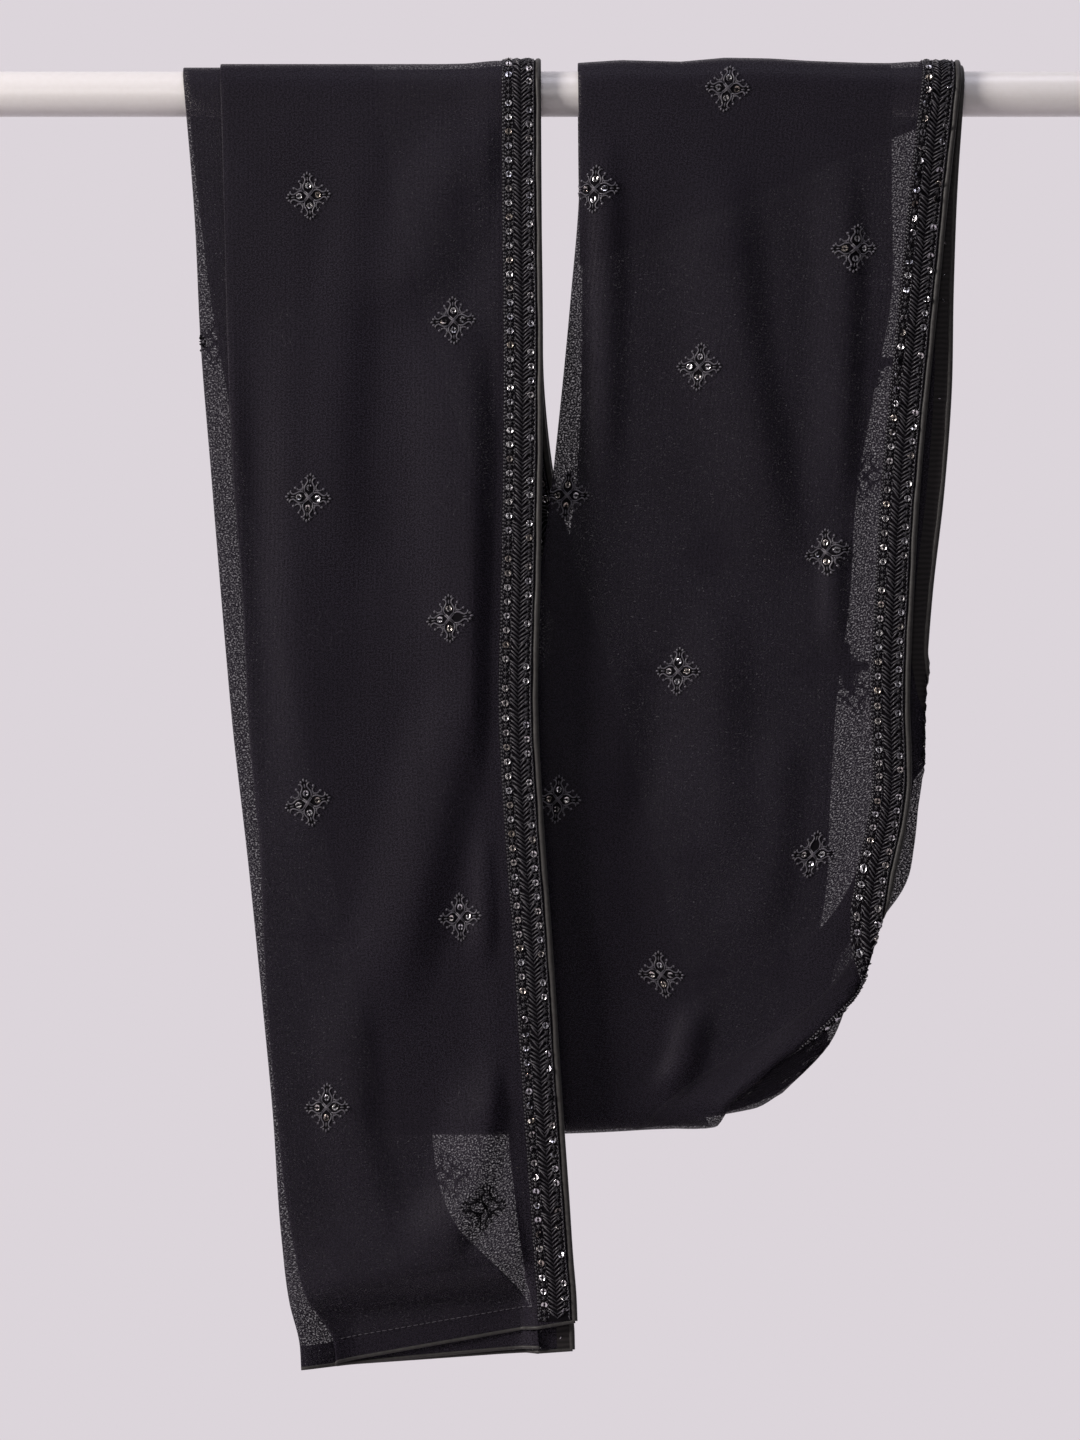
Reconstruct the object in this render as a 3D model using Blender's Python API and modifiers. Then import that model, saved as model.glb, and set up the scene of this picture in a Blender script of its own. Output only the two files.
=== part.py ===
"""A black georgette dupatta stole, folded lengthwise into four layers and hung over a round rail.

The folded band is followed along its length: its shown end falls in front of the rail on the left, the band
goes over the rail and down behind, turns up again at the foot of a loop, rises in front on the right, and
goes over the rail once more into a short tail. Metres, +Z up, X along the rail, the origin on the rail's axis.
"""

import bisect
import functools
import math

import bmesh
import bpy
import numpy as np
from mathutils import Vector

MM = 0.001

# The rail
RAIL_RADIUS = 14 * MM
RAIL_LENGTH = 900 * MM
RAIL_CHAMFER = 1.0 * MM
RAIL_SIDES = 64

# The cloth: walls, the spaces between the four layers, and the sewn pieces
WALL = 1.0 * MM
SEAM_GAP = 0.3 * MM
RAIL_GAP = 0.6 * MM
PITCH_ON_RAIL = 1.3 * MM
PITCH_HANGING = 2.2 * MM
PITCH_EASES_OVER = 60 * MM
BINDING_WIDTH = 3.0 * MM
BINDING_STANDS_OFF = 0.8 * MM
BORDER_STEP = WALL + SEAM_GAP
HEM_EDGE_HEIGHT = 2.5 * MM
HEM_EDGE_WALL = 1.4 * MM
HEM_EDGE_GAP = 0.5 * MM
CLOTH_INSETS = (BINDING_WIDTH + SEAM_GAP, 12.8 * MM, 22.3 * MM)
BORDER_INSETS = (BINDING_WIDTH + 2 * SEAM_GAP, 12.8 * MM, 22.3 * MM)
INSET_LOOKS_ALONG = 0.3

# Where the middle of the stack lies in front of or behind the rail's axis
STACK_RADIUS = RAIL_RADIUS + RAIL_GAP + WALL / 2 + 1.5 * PITCH_ON_RAIL
FALL_FORWARD = 25 * MM
LOOP_FRONT = 8 * MM
LOOP_BACK = 16 * MM
FALL_EASES_OVER = 300 * MM
LOOP_EASES_OVER = 280 * MM
LOOP_MIDDLE = (LOOP_BACK - LOOP_FRONT) / 2
LOOP_RADIUS = (LOOP_BACK + LOOP_FRONT) / 2

# How far each stretch drops below the rail's axis, at its left and its right
FALL_DROP = (785 * MM, 755 * MM)
FALL_REAR_EXTRA = 18 * MM
REAR_SHARES = (0, 0.5, 0.5, 1)
LOOP_DROP = 631 * MM
LOOP_CORNER_LIFT = 12 * MM
LOOP_CORNER_POWER = 4
TAIL_DROP = (104 * MM, 20 * MM)

# Each table follows a stretch down from the rail. A row is a level section: its share of the drop, then
# where the two long edges and the three lengthwise folds lie along the rail, in millimetres.
LINES = ("edge_outer", "fold_left_outer", "fold_right", "fold_left_inner", "edge_inner")
FRONT_FALL = (
    # share, edge_outer, fold_left_outer, fold_right, fold_left_inner, edge_inner
    (0.0, 0.6, -197, -102, -219.5, -0.5),
    (0.1, 1.0, -194.5, -97, -213, -1),
    (0.2, 1.8, -192.5, -90, -209, -2),
    (0.3, 1.5, -189, -85, -202.5, -4),
    (0.4, 0.3, -183, -80, -196, -6.5),
    (0.5, -1.2, -179, -77, -189, -8.5),
    (0.6, 2.5, -172, -74, -180, -5),
    (0.7, 8, -168.5, -71, -172, -1),
    (0.8, 12.7, -162, -68, -164.5, 3),
    (0.9, 18, -152, -52, -159, 11),
    (0.95, 20.5, -142, -20, -154, 17),
    (0.98, 22.4, -128, -3, -148, 21),
    (1.0, 23, -126, 0, -147, 21.5),
)
BACK_DROP = (
    (0.0, 0.6, -197, -102, -219.5, -0.5),
    (0.1, 1, -191, -90, -213, 0),
    (0.2, 1.5, -184, -74, -205, 0),
    (0.3, 3, -176, -56, -194, 2),
    (0.4, 11, -166, -36, -180, 10),
    (0.5, 28, -155, -14, -166, 27),
    (0.6, 46, -144, 8, -152, 45),
    (0.7, 62, -133, 30, -138, 62),
    (0.8, 76, -122, 52, -125, 78),
    (0.9, 91, -111, 74, -112, 94),
    (1.0, 108, -99, 96, -98, 112),
)
FRONT_SWAG = (
    (0.0, 259, 23.5, 217, 25.5, 261.5),
    (0.1, 252, 24, 217, 26, 259),
    (0.2, 246, 19, 217, 26, 258),
    (0.3, 240, 13, 206, 25.5, 256),
    (0.4, 234.5, 6, 195.5, 21, 250),
    (0.5, 231, -3, 191.5, 11, 243),
    (0.6, 228.5, -12, 183.5, -2, 238.5),
    (0.7, 229, -23, 179.5, -17, 236.5),
    (0.8, 219.5, -41, 176, -36, 227),
    (0.85, 212, -51, 170, -47, 209),
    (0.9, 198, -62, 158, -59, 195),
    (0.95, 168, -75, 138, -73, 179),
    (1.0, 132, -90, 108, -88, 150),
)
TAIL = (
    (0.0, 259, 23.5, 217, 25.5, 261.5),
    (0.5, 256, 24, 212, 26.5, 259),
    (1.0, 253, 25, 207, 28, 256.5),
)

# The largest folds of each hanging stretch: from one end (across, down) to the other, then the half-width and
# how far the fold stands out of the band (ridge) or into it (trough), all in millimetres.
FRONT_FALL_FOLDS = (
    # across, down, across, down, half_width, out
    (-60, 120, -68, 350, 30, 2.2),
    (-42, 90, -38, 300, 20, -2.0),
    (-150, 60, -140, 420, 34, 1.2),
    (-30, 400, -88, 600, 24, -2.0),
    (-30, 590, -60, 720, 24, -2.6),
)
FRONT_SWAG_FOLDS = (
    (48, 20, 52, 260, 26, -1.8),
    (88, 0, 100, 300, 30, 1.6),
    (130, 15, 156, 260, 24, -2.0),
    (98, 310, 108, 520, 30, 1.6),
    (66, 330, 72, 430, 28, -1.4),
)
BACK_DROP_FOLDS = (
    (-150, 40, -80, 380, 30, 1.8),
    (-100, 60, -10, 420, 26, -1.8),
    (-40, 250, 60, 560, 30, 1.6),
)
TAIL_FOLDS = ((120, 20, 110, 110, 30, 1.0),)

# How far the band puffs up off the rail, by place along it, in millimetres
PUFF_ACROSS = (-230, -60, -15, 20, 50, 87, 115, 143, 167, 200, 260)
PUFF_UP = (0, 0, 1.0, 0.5, 2.5, 1.5, 4.0, 3.5, 2.0, 0.8, 0)

# The whole way along the band, as seven parts of equal weight, with the sections that each is drawn through
FALL, OVER_LEFT, BACK, TURN, SWAG, OVER_RIGHT, HANGING_TAIL = range(7)
TENTHS = (0, 0.1, 0.2, 0.3, 0.4, 0.5, 0.6, 0.7, 0.8, 0.9)
SIXTHS = (0, 1 / 6, 1 / 3, 1 / 2, 2 / 3, 5 / 6)
SWAG_SHARES = (0, 0.02, 0.05, 0.1, 0.15, 0.2, 0.3, 0.4, 0.5, 0.6, 0.7, 0.85)
SECTION_SHARES = (TENTHS, SIXTHS, TENTHS, SIXTHS, SWAG_SHARES, SIXTHS, (0, 0.5))
WHOLE_WAY = len(SECTION_SHARES)
STRETCHES = (
    # name, first and last way: each ends at the top of the rail or at the foot of the loop
    ("front_fall", 0.0, 1.5),
    ("back_drop", 1.5, 3.5),
    ("front_swag", 3.5, 5.5),
    ("tail", 5.5, 7.0),
)


def smooth(t):
    t = min(max(t, 0.0), 1.0)
    return t * t * (3 - 2 * t)


def mix(a, b, t):
    return a + (b - a) * t


def hermite(start, end, start_slope, end_slope, t):
    """A cubic from start to end whose slopes at t = 0 and t = 1 are given."""
    return (
        start * (2 * t**3 - 3 * t**2 + 1)
        + end * (3 * t**2 - 2 * t**3)
        + start_slope * (t**3 - 2 * t**2 + t)
        + end_slope * (t**3 - t**2)
    )


def through(shares, values, slopes, at):
    """A smooth curve through the values, read at one share."""
    at = min(max(at, shares[0]), shares[-1])
    i = max(min(bisect.bisect_right(shares, at) - 1, len(shares) - 2), 0)
    width = shares[i + 1] - shares[i]
    t = (at - shares[i]) / width
    return hermite(values[i], values[i + 1], slopes[i] * width, slopes[i + 1] * width, t)


def columns_of(table):
    rows = np.array(table, float)
    shares = rows[:, 0].tolist()
    lines = {}
    for i, line in enumerate(LINES):
        values = rows[:, 1 + i] * MM
        lines[line] = (values.tolist(), np.gradient(values, shares).tolist())
    return shares, lines


SECTIONS = {
    FALL: columns_of(FRONT_FALL),
    BACK: columns_of(BACK_DROP),
    SWAG: columns_of(FRONT_SWAG),
    HANGING_TAIL: columns_of(TAIL),
}
FOLDS = {
    FALL: FRONT_FALL_FOLDS,
    BACK: BACK_DROP_FOLDS,
    SWAG: FRONT_SWAG_FOLDS,
    HANGING_TAIL: TAIL_FOLDS,
}


def part_of(way):
    """Which of the seven parts a way lies in, and how far through it."""
    part = min(max(math.floor(way), FALL), HANGING_TAIL)
    return part, way - part


def share_of(part, t):
    """How far down its drop a hanging part is: the fall and the swag are followed upwards."""
    return 1 - t if part in (FALL, SWAG) else t


def line_at(line, way):
    """Where an edge or fold lies along the rail."""
    part, t = part_of(way)
    if part in SECTIONS:
        shares, lines = SECTIONS[part]
        return through(shares, *lines[line], share_of(part, t))
    # A bend carries on at the slopes of the drops that it joins.
    # Shares grow downwards, and the band goes down before the turn and up before the rail.
    (before, before_slopes), (after, after_slopes) = (SECTIONS[part + side][1][line] for side in (-1, 1))
    end, down = (-1, 1) if part == TURN else (0, -1)
    reach = down * math.pi * (LOOP_RADIUS if part == TURN else STACK_RADIUS) / LOOP_DROP
    return hermite(before[end], after[end], before_slopes[end] * reach, -after_slopes[end] * reach, t)


def reach_at(way):
    """The band's left and right outline."""
    left = min(line_at("fold_left_outer", way), line_at("fold_left_inner", way))
    right = max(line_at("edge_outer", way), line_at("edge_inner", way))
    return left, right


def drop_of(part, across, layer):
    if part == FALL:
        return mix(*FALL_DROP, across) + FALL_REAR_EXTRA * across * np.interp(layer, range(4), REAR_SHARES)
    if part == HANGING_TAIL:
        return mix(*TAIL_DROP, across)
    return LOOP_DROP - LOOP_CORNER_LIFT * max(across, 0) ** LOOP_CORNER_POWER


def fold_height(part, x, z):
    """How far the largest folds lift the band out at a place."""
    out = 0.0
    for x0, down0, x1, down1, half_width, height in FOLDS.get(part, ()):
        start = np.array([x0, -down0]) * MM
        along = np.array([x1, -down1]) * MM - start
        length = np.linalg.norm(along)
        along /= length
        place = np.array([x, z]) - start
        run = place @ along
        aside = abs(place[0] * along[1] - place[1] * along[0])
        fade = smooth(run / (0.35 * length)) * smooth((length - run) / (0.35 * length))
        out += height * MM * fade * smooth(1 - aside / (half_width * MM))
    return out


def border_lift(x, way):
    """The whole stack steps up where the inner border lies between it and the rail."""
    inward = line_at("edge_inner", way) - x
    return BORDER_STEP * (1 - smooth((inward - 26 * MM) / (22 * MM)))


def middle(x, way, layer=0.0):
    """The middle of the stack, with its folds, above one place along the rail."""
    left, right = reach_at(way)
    across = (x - left) / (right - left)
    part, t = part_of(way)
    lift = border_lift(x, way)
    if part in (OVER_LEFT, OVER_RIGHT):
        radius = STACK_RADIUS + lift
        radius += np.interp(x / MM, PUFF_ACROSS, PUFF_UP) * MM * math.sin(math.pi * t)
        return Vector((x, -radius * math.cos(math.pi * t), radius * math.sin(math.pi * t)))
    drop = drop_of(part, across, layer)
    if part == TURN:
        radius = LOOP_RADIUS + lift
        y = LOOP_MIDDLE + radius * math.cos(math.pi * t)
        return Vector((x, y, -drop - radius * math.sin(math.pi * t)))
    z = -share_of(part, t) * drop
    edge = min(line_at("edge_outer", way), line_at("edge_inner", way))
    clear_of_border = smooth((edge - x - 24 * MM) / (14 * MM))
    out = lift + fold_height(part, x, z) * clear_of_border
    if part == FALL:
        return Vector((x, -mix(STACK_RADIUS, FALL_FORWARD, smooth(-z / FALL_EASES_OVER)) - out, z))
    if part == SWAG:
        return Vector((x, -mix(STACK_RADIUS, LOOP_FRONT, smooth(-z / LOOP_EASES_OVER)) - out, z))
    if part == BACK:
        return Vector((x, mix(STACK_RADIUS, LOOP_BACK, smooth(-z / LOOP_EASES_OVER)) + out, z))
    return Vector((x, STACK_RADIUS + out, z))


def outward(x, way, layer):
    """The stack's normal, on the side that faces away from the rail and the loop's inside."""
    step = 2 * MM
    along = middle(x, way + 0.004, layer) - middle(x, way - 0.004, layer)
    aside = middle(x + step, way, layer) - middle(x - step, way, layer)
    return aside.cross(along).normalized()


def pitch_at(way, z):
    part, _ = part_of(way)
    if part in (OVER_LEFT, OVER_RIGHT):
        return PITCH_ON_RAIL
    return mix(PITCH_ON_RAIL, PITCH_HANGING, smooth(-z / PITCH_EASES_OVER))


def stack_point(x, way, layer, raised=0.0):
    """A place on one layer, from 0, the outermost, to 3, and any height above that layer's middle."""
    base = middle(x, way, layer)
    return base + outward(x, way, layer) * ((1.5 - layer) * pitch_at(way, base.z) + raised)


@functools.cache
def edge_path(line, layer):
    """A long edge, sampled closely: the way along the band and the place."""
    ways = np.linspace(0, WHOLE_WAY - 1e-6, 40 * WHOLE_WAY + 1)
    return ways, np.array([stack_point(line_at(line, way), way, layer) for way in ways])


def inset_along(line, way, layer, inset):
    """Where a section lies this far in from a long edge, measured square to that edge."""
    ways, path = edge_path(line, layer)
    path = path[abs(ways - way) < INSET_LOOKS_ALONG]
    starts, steps = path[:-1], np.diff(path, axis=0)
    squares = (steps**2).sum(axis=1)
    edge = line_at(line, way)
    low, high = edge - 4 * inset, edge
    for _ in range(16):
        x = (low + high) / 2
        place = np.array(stack_point(x, way, layer)) - starts
        share = np.clip((place * steps).sum(axis=1) / squares, 0, 1)
        apart = np.sqrt(((place - steps * share[:, None]) ** 2).sum(axis=1).min())
        low, high = (x, high) if apart > inset else (low, x)
    return (low + high) / 2


def cloth_columns(way):
    """Across one section of the folded band, from the outer long edge to the inner one: (x, layer)."""
    turn = pitch_at(way, middle(line_at("fold_left_inner", way), way).z) / 2
    first_fold, second_fold, third_fold = (line_at(name, way) for name in LINES[1:4])
    outer = [inset_along("edge_outer", way, 0, inset) for inset in CLOTH_INSETS]
    inner = [inset_along("edge_inner", way, 3, inset) for inset in CLOTH_INSETS]
    columns = [(x, 0.0) for x in outer]
    runs = (
        # from, to, layer, steps, the fold it starts from
        (outer[-1], first_fold + turn, 0, 6, None),
        (first_fold + turn, second_fold - turn, 1, 4, first_fold),
        (second_fold - turn, third_fold + turn, 2, 4, second_fold),
        (third_fold + turn, inner[-1], 3, 5, third_fold),
    )
    for start, end, layer, steps, fold in runs:
        if fold is not None:
            columns.append((fold, layer - 0.5))
            columns.append((start, float(layer)))
        columns += [(mix(start, end, i / steps), float(layer)) for i in range(1, steps + 1)]
    columns += [(x, 3.0) for x in reversed(inner[:-1])]
    return columns


def ways_between(first, last, standing_off):
    """The sections of one stretch, which stops short of its neighbours."""
    ways = [part + share for part, shares in enumerate(SECTION_SHARES) for share in shares]
    ways = [way for way in ways if first < way < last]
    off = standing_off / (math.pi * STACK_RADIUS)
    start = first + off if first > 0 else first
    end = last - off if last < WHOLE_WAY else last - 1e-9
    return [start, *ways, end]


def material(name, colour, roughness, metallic=0.0):
    made = bpy.data.materials.new(name)
    made.use_nodes = True
    shader = made.node_tree.nodes["Principled BSDF"]
    shader.inputs["Base Color"].default_value = (*colour, 1)
    shader.inputs["Roughness"].default_value = roughness
    shader.inputs["Metallic"].default_value = metallic
    return made


def open_sheet(name, rows, thickness, finish, collection):
    """A sheet through rows of points, made into a wall."""
    mesh = bpy.data.meshes.new(name)
    build = bmesh.new()
    grid = [[build.verts.new(point) for point in row] for row in rows]
    for low, high in zip(grid, grid[1:]):
        for a, b, c, d in zip(low, low[1:], high[1:], high):
            build.faces.new((a, b, c, d))
    build.normal_update()
    build.to_mesh(mesh)
    build.free()
    made = bpy.data.objects.new(name, mesh)
    mesh.materials.append(finish)
    collection.objects.link(made)
    wall = made.modifiers.new("wall", "SOLIDIFY")
    wall.thickness = thickness
    wall.offset = 0
    wall.use_even_offset = True
    wall.use_rim = True
    return made


def binding(name, points, finish, collection):
    """A round binding along an edge."""
    curve = bpy.data.curves.new(name, "CURVE")
    curve.dimensions = "3D"
    curve.bevel_depth = BINDING_WIDTH / 2
    curve.bevel_resolution = 1
    curve.use_fill_caps = True
    spline = curve.splines.new("POLY")
    spline.points.add(len(points) - 1)
    for place, point in zip(spline.points, points):
        place.co = (*point, 1)
    made = bpy.data.objects.new(name, curve)
    curve.materials.append(finish)
    collection.objects.link(made)
    return made


def cloth(name, ways, finish, collection):
    rows = [[stack_point(x, way, layer) for x, layer in cloth_columns(way)] for way in ways]
    return open_sheet("cloth_" + name, rows, WALL, finish, collection)


def border(name, side, ways, finish, collection):
    """The embroidered band on the right side of the cloth, along one long edge."""
    line = "edge_" + side
    layer, raised = (0, BORDER_STEP) if side == "outer" else (3, -BORDER_STEP)
    rows = []
    for way in ways:
        across = [inset_along(line, way, layer, inset) for inset in BORDER_INSETS]
        rows.append([stack_point(x, way, layer, raised) for x in across])
    return open_sheet(f"border_{side}_{name}", rows, WALL, finish, collection)


def edge_binding(name, side, ways, finish, collection):
    line = "edge_" + side
    layer = 0 if side == "outer" else 3
    points = []
    for way in ways:
        x = inset_along(line, way, layer, BINDING_WIDTH / 2)
        points.append(stack_point(x, way, layer))
    return binding(f"binding_{side}_{name}", points, finish, collection)


def hem_edge(name, way, toward, finish, collection):
    """The corded edge just beyond the end of the cloth, following all four layers."""
    part = FALL if name == "front_fall" else HANGING_TAIL
    left, right = reach_at(way)
    rows = []
    for beyond in (HEM_EDGE_GAP, HEM_EDGE_GAP + HEM_EDGE_HEIGHT):
        row = []
        for x, layer in cloth_columns(way):
            drop = drop_of(part, (x - left) / (right - left), layer)
            row.append(stack_point(x, way + toward * beyond / drop, layer))
        rows.append(row)
    return open_sheet("hem_edge_" + name, rows, HEM_EDGE_WALL, finish, collection)


def rail(finish, collection):
    bpy.ops.mesh.primitive_cylinder_add(
        vertices=RAIL_SIDES, radius=RAIL_RADIUS, depth=RAIL_LENGTH, rotation=(0, math.pi / 2, 0)
    )
    made = bpy.context.object
    made.name = "rail"
    made.data.name = "rail"
    for holder in list(made.users_collection):
        holder.objects.unlink(made)
    collection.objects.link(made)
    made.data.materials.append(finish)
    made.data.shade_smooth()
    made.data.set_sharp_from_angle(angle=math.radians(40))
    ends = made.modifiers.new("chamfer", "BEVEL")
    ends.width = RAIL_CHAMFER
    ends.segments = 1
    ends.limit_method = "ANGLE"
    ends.angle_limit = math.radians(40)
    return made


def main():
    for old in list(bpy.data.objects):
        bpy.data.objects.remove(old)
    collection = bpy.data.collections.new("dupatta_on_rail")
    bpy.context.scene.collection.children.link(collection)
    georgette = material("black_georgette", (0.012, 0.011, 0.014), 0.75)
    embroidery = material("black_embroidery", (0.008, 0.008, 0.010), 0.6)
    satin = material("black_satin", (0.030, 0.028, 0.032), 0.45)
    enamel = material("white_enamel", (0.80, 0.79, 0.78), 0.30)
    for name, first, last in STRETCHES:
        ways = ways_between(first, last, SEAM_GAP)
        binding_ways = ways_between(first, last, BINDING_STANDS_OFF)
        cloth(name, ways, georgette, collection)
        for side in ("outer", "inner"):
            border(name, side, ways, embroidery, collection)
            edge_binding(name, side, binding_ways, satin, collection)
    hem_edge("front_fall", 0.0, -1, satin, collection)
    hem_edge("tail", float(WHOLE_WAY), 1, satin, collection)
    rail(enamel, collection)


main()
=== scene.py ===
"""The black georgette dupatta on its rail, built as real cloth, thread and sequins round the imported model.

The folded band is followed from its shown end: up the front fall, over the rail, down the back drop, round the
foot of the loop, up the front swag, over the rail and into the tail. A place on it is given by its way, which
counts those seven parts, by x along the rail, and by its layer, from 0, the outermost, to 3.
"""

import bisect
import math

import bpy
import numpy as np
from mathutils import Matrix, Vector


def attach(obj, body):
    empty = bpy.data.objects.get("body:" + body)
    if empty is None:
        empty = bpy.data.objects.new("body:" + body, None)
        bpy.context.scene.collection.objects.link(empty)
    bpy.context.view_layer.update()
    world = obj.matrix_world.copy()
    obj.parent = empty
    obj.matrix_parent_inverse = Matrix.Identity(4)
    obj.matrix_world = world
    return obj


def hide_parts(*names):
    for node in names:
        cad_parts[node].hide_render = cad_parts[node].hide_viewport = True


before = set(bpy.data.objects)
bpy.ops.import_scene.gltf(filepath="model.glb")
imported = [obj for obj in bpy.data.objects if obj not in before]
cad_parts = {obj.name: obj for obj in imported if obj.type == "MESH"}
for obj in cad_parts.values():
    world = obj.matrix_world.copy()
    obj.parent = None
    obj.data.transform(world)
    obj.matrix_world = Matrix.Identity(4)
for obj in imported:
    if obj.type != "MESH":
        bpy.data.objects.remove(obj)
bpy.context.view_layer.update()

MM = 0.001
CHANCE = np.random.default_rng(20)

# ---------------------------------------------------------------- the folded band

BORDER_STEP = 1.3 * MM
STACK_RADIUS = 17.05 * MM
FALL_FORWARD = 25 * MM
LOOP_FRONT = 8 * MM
LOOP_BACK = 16 * MM
FALL_EASES_OVER = 300 * MM
LOOP_EASES_OVER = 280 * MM
LOOP_MIDDLE = (LOOP_BACK - LOOP_FRONT) / 2
LOOP_RADIUS = (LOOP_BACK + LOOP_FRONT) / 2

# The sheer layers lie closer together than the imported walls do.
PITCH_ON_RAIL = 1.1 * MM
PITCH_HANGING = 1.7 * MM
PITCH_EASES_OVER = 60 * MM

FALL_DROP = (787 * MM, 757 * MM)
FALL_REAR_EXTRA = 18 * MM
REAR_SHARES = (0, 0.8, 0.8, 1)
LOOP_DROP = 631 * MM
LOOP_CORNER_LIFT = 12 * MM
LOOP_CORNER_POWER = 4
TAIL_DROP = (104 * MM, 9 * MM)

# A row is a level section: its share of the drop, then where the long edges and the folds lie, in millimetres.
LINES = ("edge_outer", "fold_left_outer", "fold_right", "fold_left_inner", "edge_inner")
FRONT_FALL = (
    # share, edge_outer, fold_left_outer, fold_right, fold_left_inner, edge_inner
    (0.0, 0.6, -197, -102, -219.5, -0.5),
    (0.1, 1.0, -194.5, -97, -213, -1),
    (0.2, 1.8, -192.5, -90, -209, -2),
    (0.3, 1.5, -189, -85, -202.5, -4),
    (0.4, 0.3, -183, -80, -196, -6.5),
    (0.5, -1.2, -179, -77, -189, -8.5),
    (0.6, 2.5, -172, -74, -180, -5),
    (0.7, 8, -168.5, -71, -172, -1),
    (0.8, 12.7, -162, -68, -164.5, 3),
    (0.9, 18, -152, -50, -159, 11),
    (0.95, 20.5, -142, -15, -154, 17),
    (0.98, 22.4, -128, -2, -148, 21),
    (1.0, 23, -126, 0, -147, 21.5),
)
BACK_DROP = (
    (0.0, 0.6, -197, -102, -219.5, -0.5),
    (0.1, 1, -191, -90, -213, 0),
    (0.2, 1.5, -184, -74, -205, 0),
    (0.3, 3, -176, -56, -194, 2),
    (0.4, 11, -166, -36, -180, 10),
    (0.5, 28, -155, -14, -166, 27),
    (0.6, 46, -144, 8, -152, 45),
    (0.7, 62, -133, 30, -138, 62),
    (0.8, 76, -122, 52, -125, 78),
    (0.9, 91, -111, 74, -112, 94),
    (1.0, 108, -99, 96, -98, 112),
)
FRONT_SWAG = (
    (0.0, 259, 23.5, 217, 25.5, 261.5),
    (0.1, 252, 24, 217, 26, 257.5),
    (0.2, 246, 19, 217, 26, 255.5),
    (0.3, 240, 13, 206, 25.5, 254.5),
    (0.4, 234.5, 6, 195.5, 21, 250),
    (0.5, 231, -3, 191.5, 11, 243),
    (0.6, 228.5, -12, 183.5, -2, 238.5),
    (0.7, 229, -23, 179.5, -17, 236.5),
    (0.8, 216, -41, 176, -36, 223),
    (0.85, 206, -51, 170, -47, 203.5),
    (0.9, 196, -62, 158, -59, 193.5),
    (0.95, 168, -75, 138, -73, 179),
    (1.0, 132, -90, 108, -88, 150),
)
TAIL = (
    (0.0, 259, 23.5, 217, 25.5, 261.5),
    (0.5, 256, 24, 212, 26.5, 259),
    (1.0, 253, 25, 207, 28, 256.5),
)

# The main creases: a line of (across, down) points, how wide it is to its left and right, and how far it stands
# out of the band (ridge) or into it (trough), all in millimetres.
FRONT_FALL_CREASES = (
    (((-31, 4), (-50, 45), (-66, 80), (-80, 114), (-90, 150)), 40, 44, 4.6),
    (((-50, 120), (-44, 210), (-44, 330), (-47, 410)), 50, 20, 6.6),
    (((-34, 330), (-58, 425), (-77, 500), (-97, 590)), 40, 26, 6.0),
    (((-27, 450), (-30, 500), (-36, 545)), 14, 10, 3.0),
    (((-24, 590), (-38, 673), (-64, 732)), 36, 11, 6.6),
    (((-150, 30), (-146, 200), (-150, 380), (-140, 560)), 34, 44, 2.6),
    (((-178, 120), (-172, 300), (-160, 480)), 14, 22, -1.8),
    (((-118, 540), (-112, 640), (-92, 715)), 30, 20, 3.6),
    (((-104, 20), (-118, 120), (-122, 230), (-112, 320)), 26, 24, 2.4),
)
FRONT_SWAG_CREASES = (
    (((39, 12), (41, 120), (39, 270)), 13, 15, 3.6),
    (((113, 30), (124, 150), (140, 240), (152, 310)), 46, 22, 5.2),
    (((188, 20), (190, 120), (187, 220), (183, 290)), 26, 12, 3.8),
    (((184, 265), (181, 310), (183, 350)), 11, 9, 3.2),
    (((108, 300), (112, 400), (116, 500)), 30, 26, 3.2),
    (((66, 330), (70, 400), (64, 470)), 22, 24, -2.6),
    (((99, 560), (90, 597), (77, 625)), 16, 12, 5.0),
    (((20, 380), (30, 470), (40, 560)), 22, 30, 2.8),
    (((150, 380), (146, 460), (132, 540)), 34, 20, 3.0),
)
BACK_DROP_CREASES = (
    (((-150, 20), (-132, 140), (-112, 280), (-90, 400)), 26, 34, 4.0),
    (((-104, 26), (-88, 160), (-58, 300), (-20, 430)), 18, 26, -4.4),
    (((-60, 120), (-34, 240), (10, 400), (50, 560)), 26, 22, 3.6),
    (((-176, 60), (-164, 220), (-140, 400)), 14, 22, -2.2),
    (((-24, 60), (-18, 170), (0, 260)), 14, 12, -3.2),
    (((-90, 420), (-60, 520), (-40, 600)), 24, 22, -3.2),
)
TAIL_CREASES = (
    (((112, 0), (108, 40), (100, 90)), 26, 22, 2.4),
    (((66, 0), (70, 50), (68, 100)), 16, 20, -2.0),
)

# Round the loop's corner each border rolls under its own layer. By way: how far the roll's crest lies inside the
# stack's edge, and how much cloth is tucked under it, in millimetres.
TUCKS = {
    "outer": (
        # way, crest inside, cloth under
        (2.50, 0, 0), (2.65, 1, 10), (2.80, 4, 26), (2.92, 7, 42), (3.00, 9, 50),
        (4.00, 12, 50), (4.03, 13, 48), (4.047, 9, 44), (4.06, 4, 40), (4.075, 1, 35),
        (4.10, 0.5, 27), (4.125, 0.3, 18), (4.15, 0, 10), (4.18, 0, 3.5), (4.22, 0, 0),
    ),
    "inner": (
        (2.40, 0, 0), (2.60, 0, 16), (2.80, 0, 38), (3.00, 0, 50), (4.05, 0, 50),
        (4.12, 0, 46), (4.24, 0, 36), (4.32, 0, 33), (4.36, 0, 16), (4.40, 0, 6),
        (4.44, 0, 0),
    ),
}
TUCK_RADIUS = 0.9 * MM
LEAST_TUCK = 0.5 * MM
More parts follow.
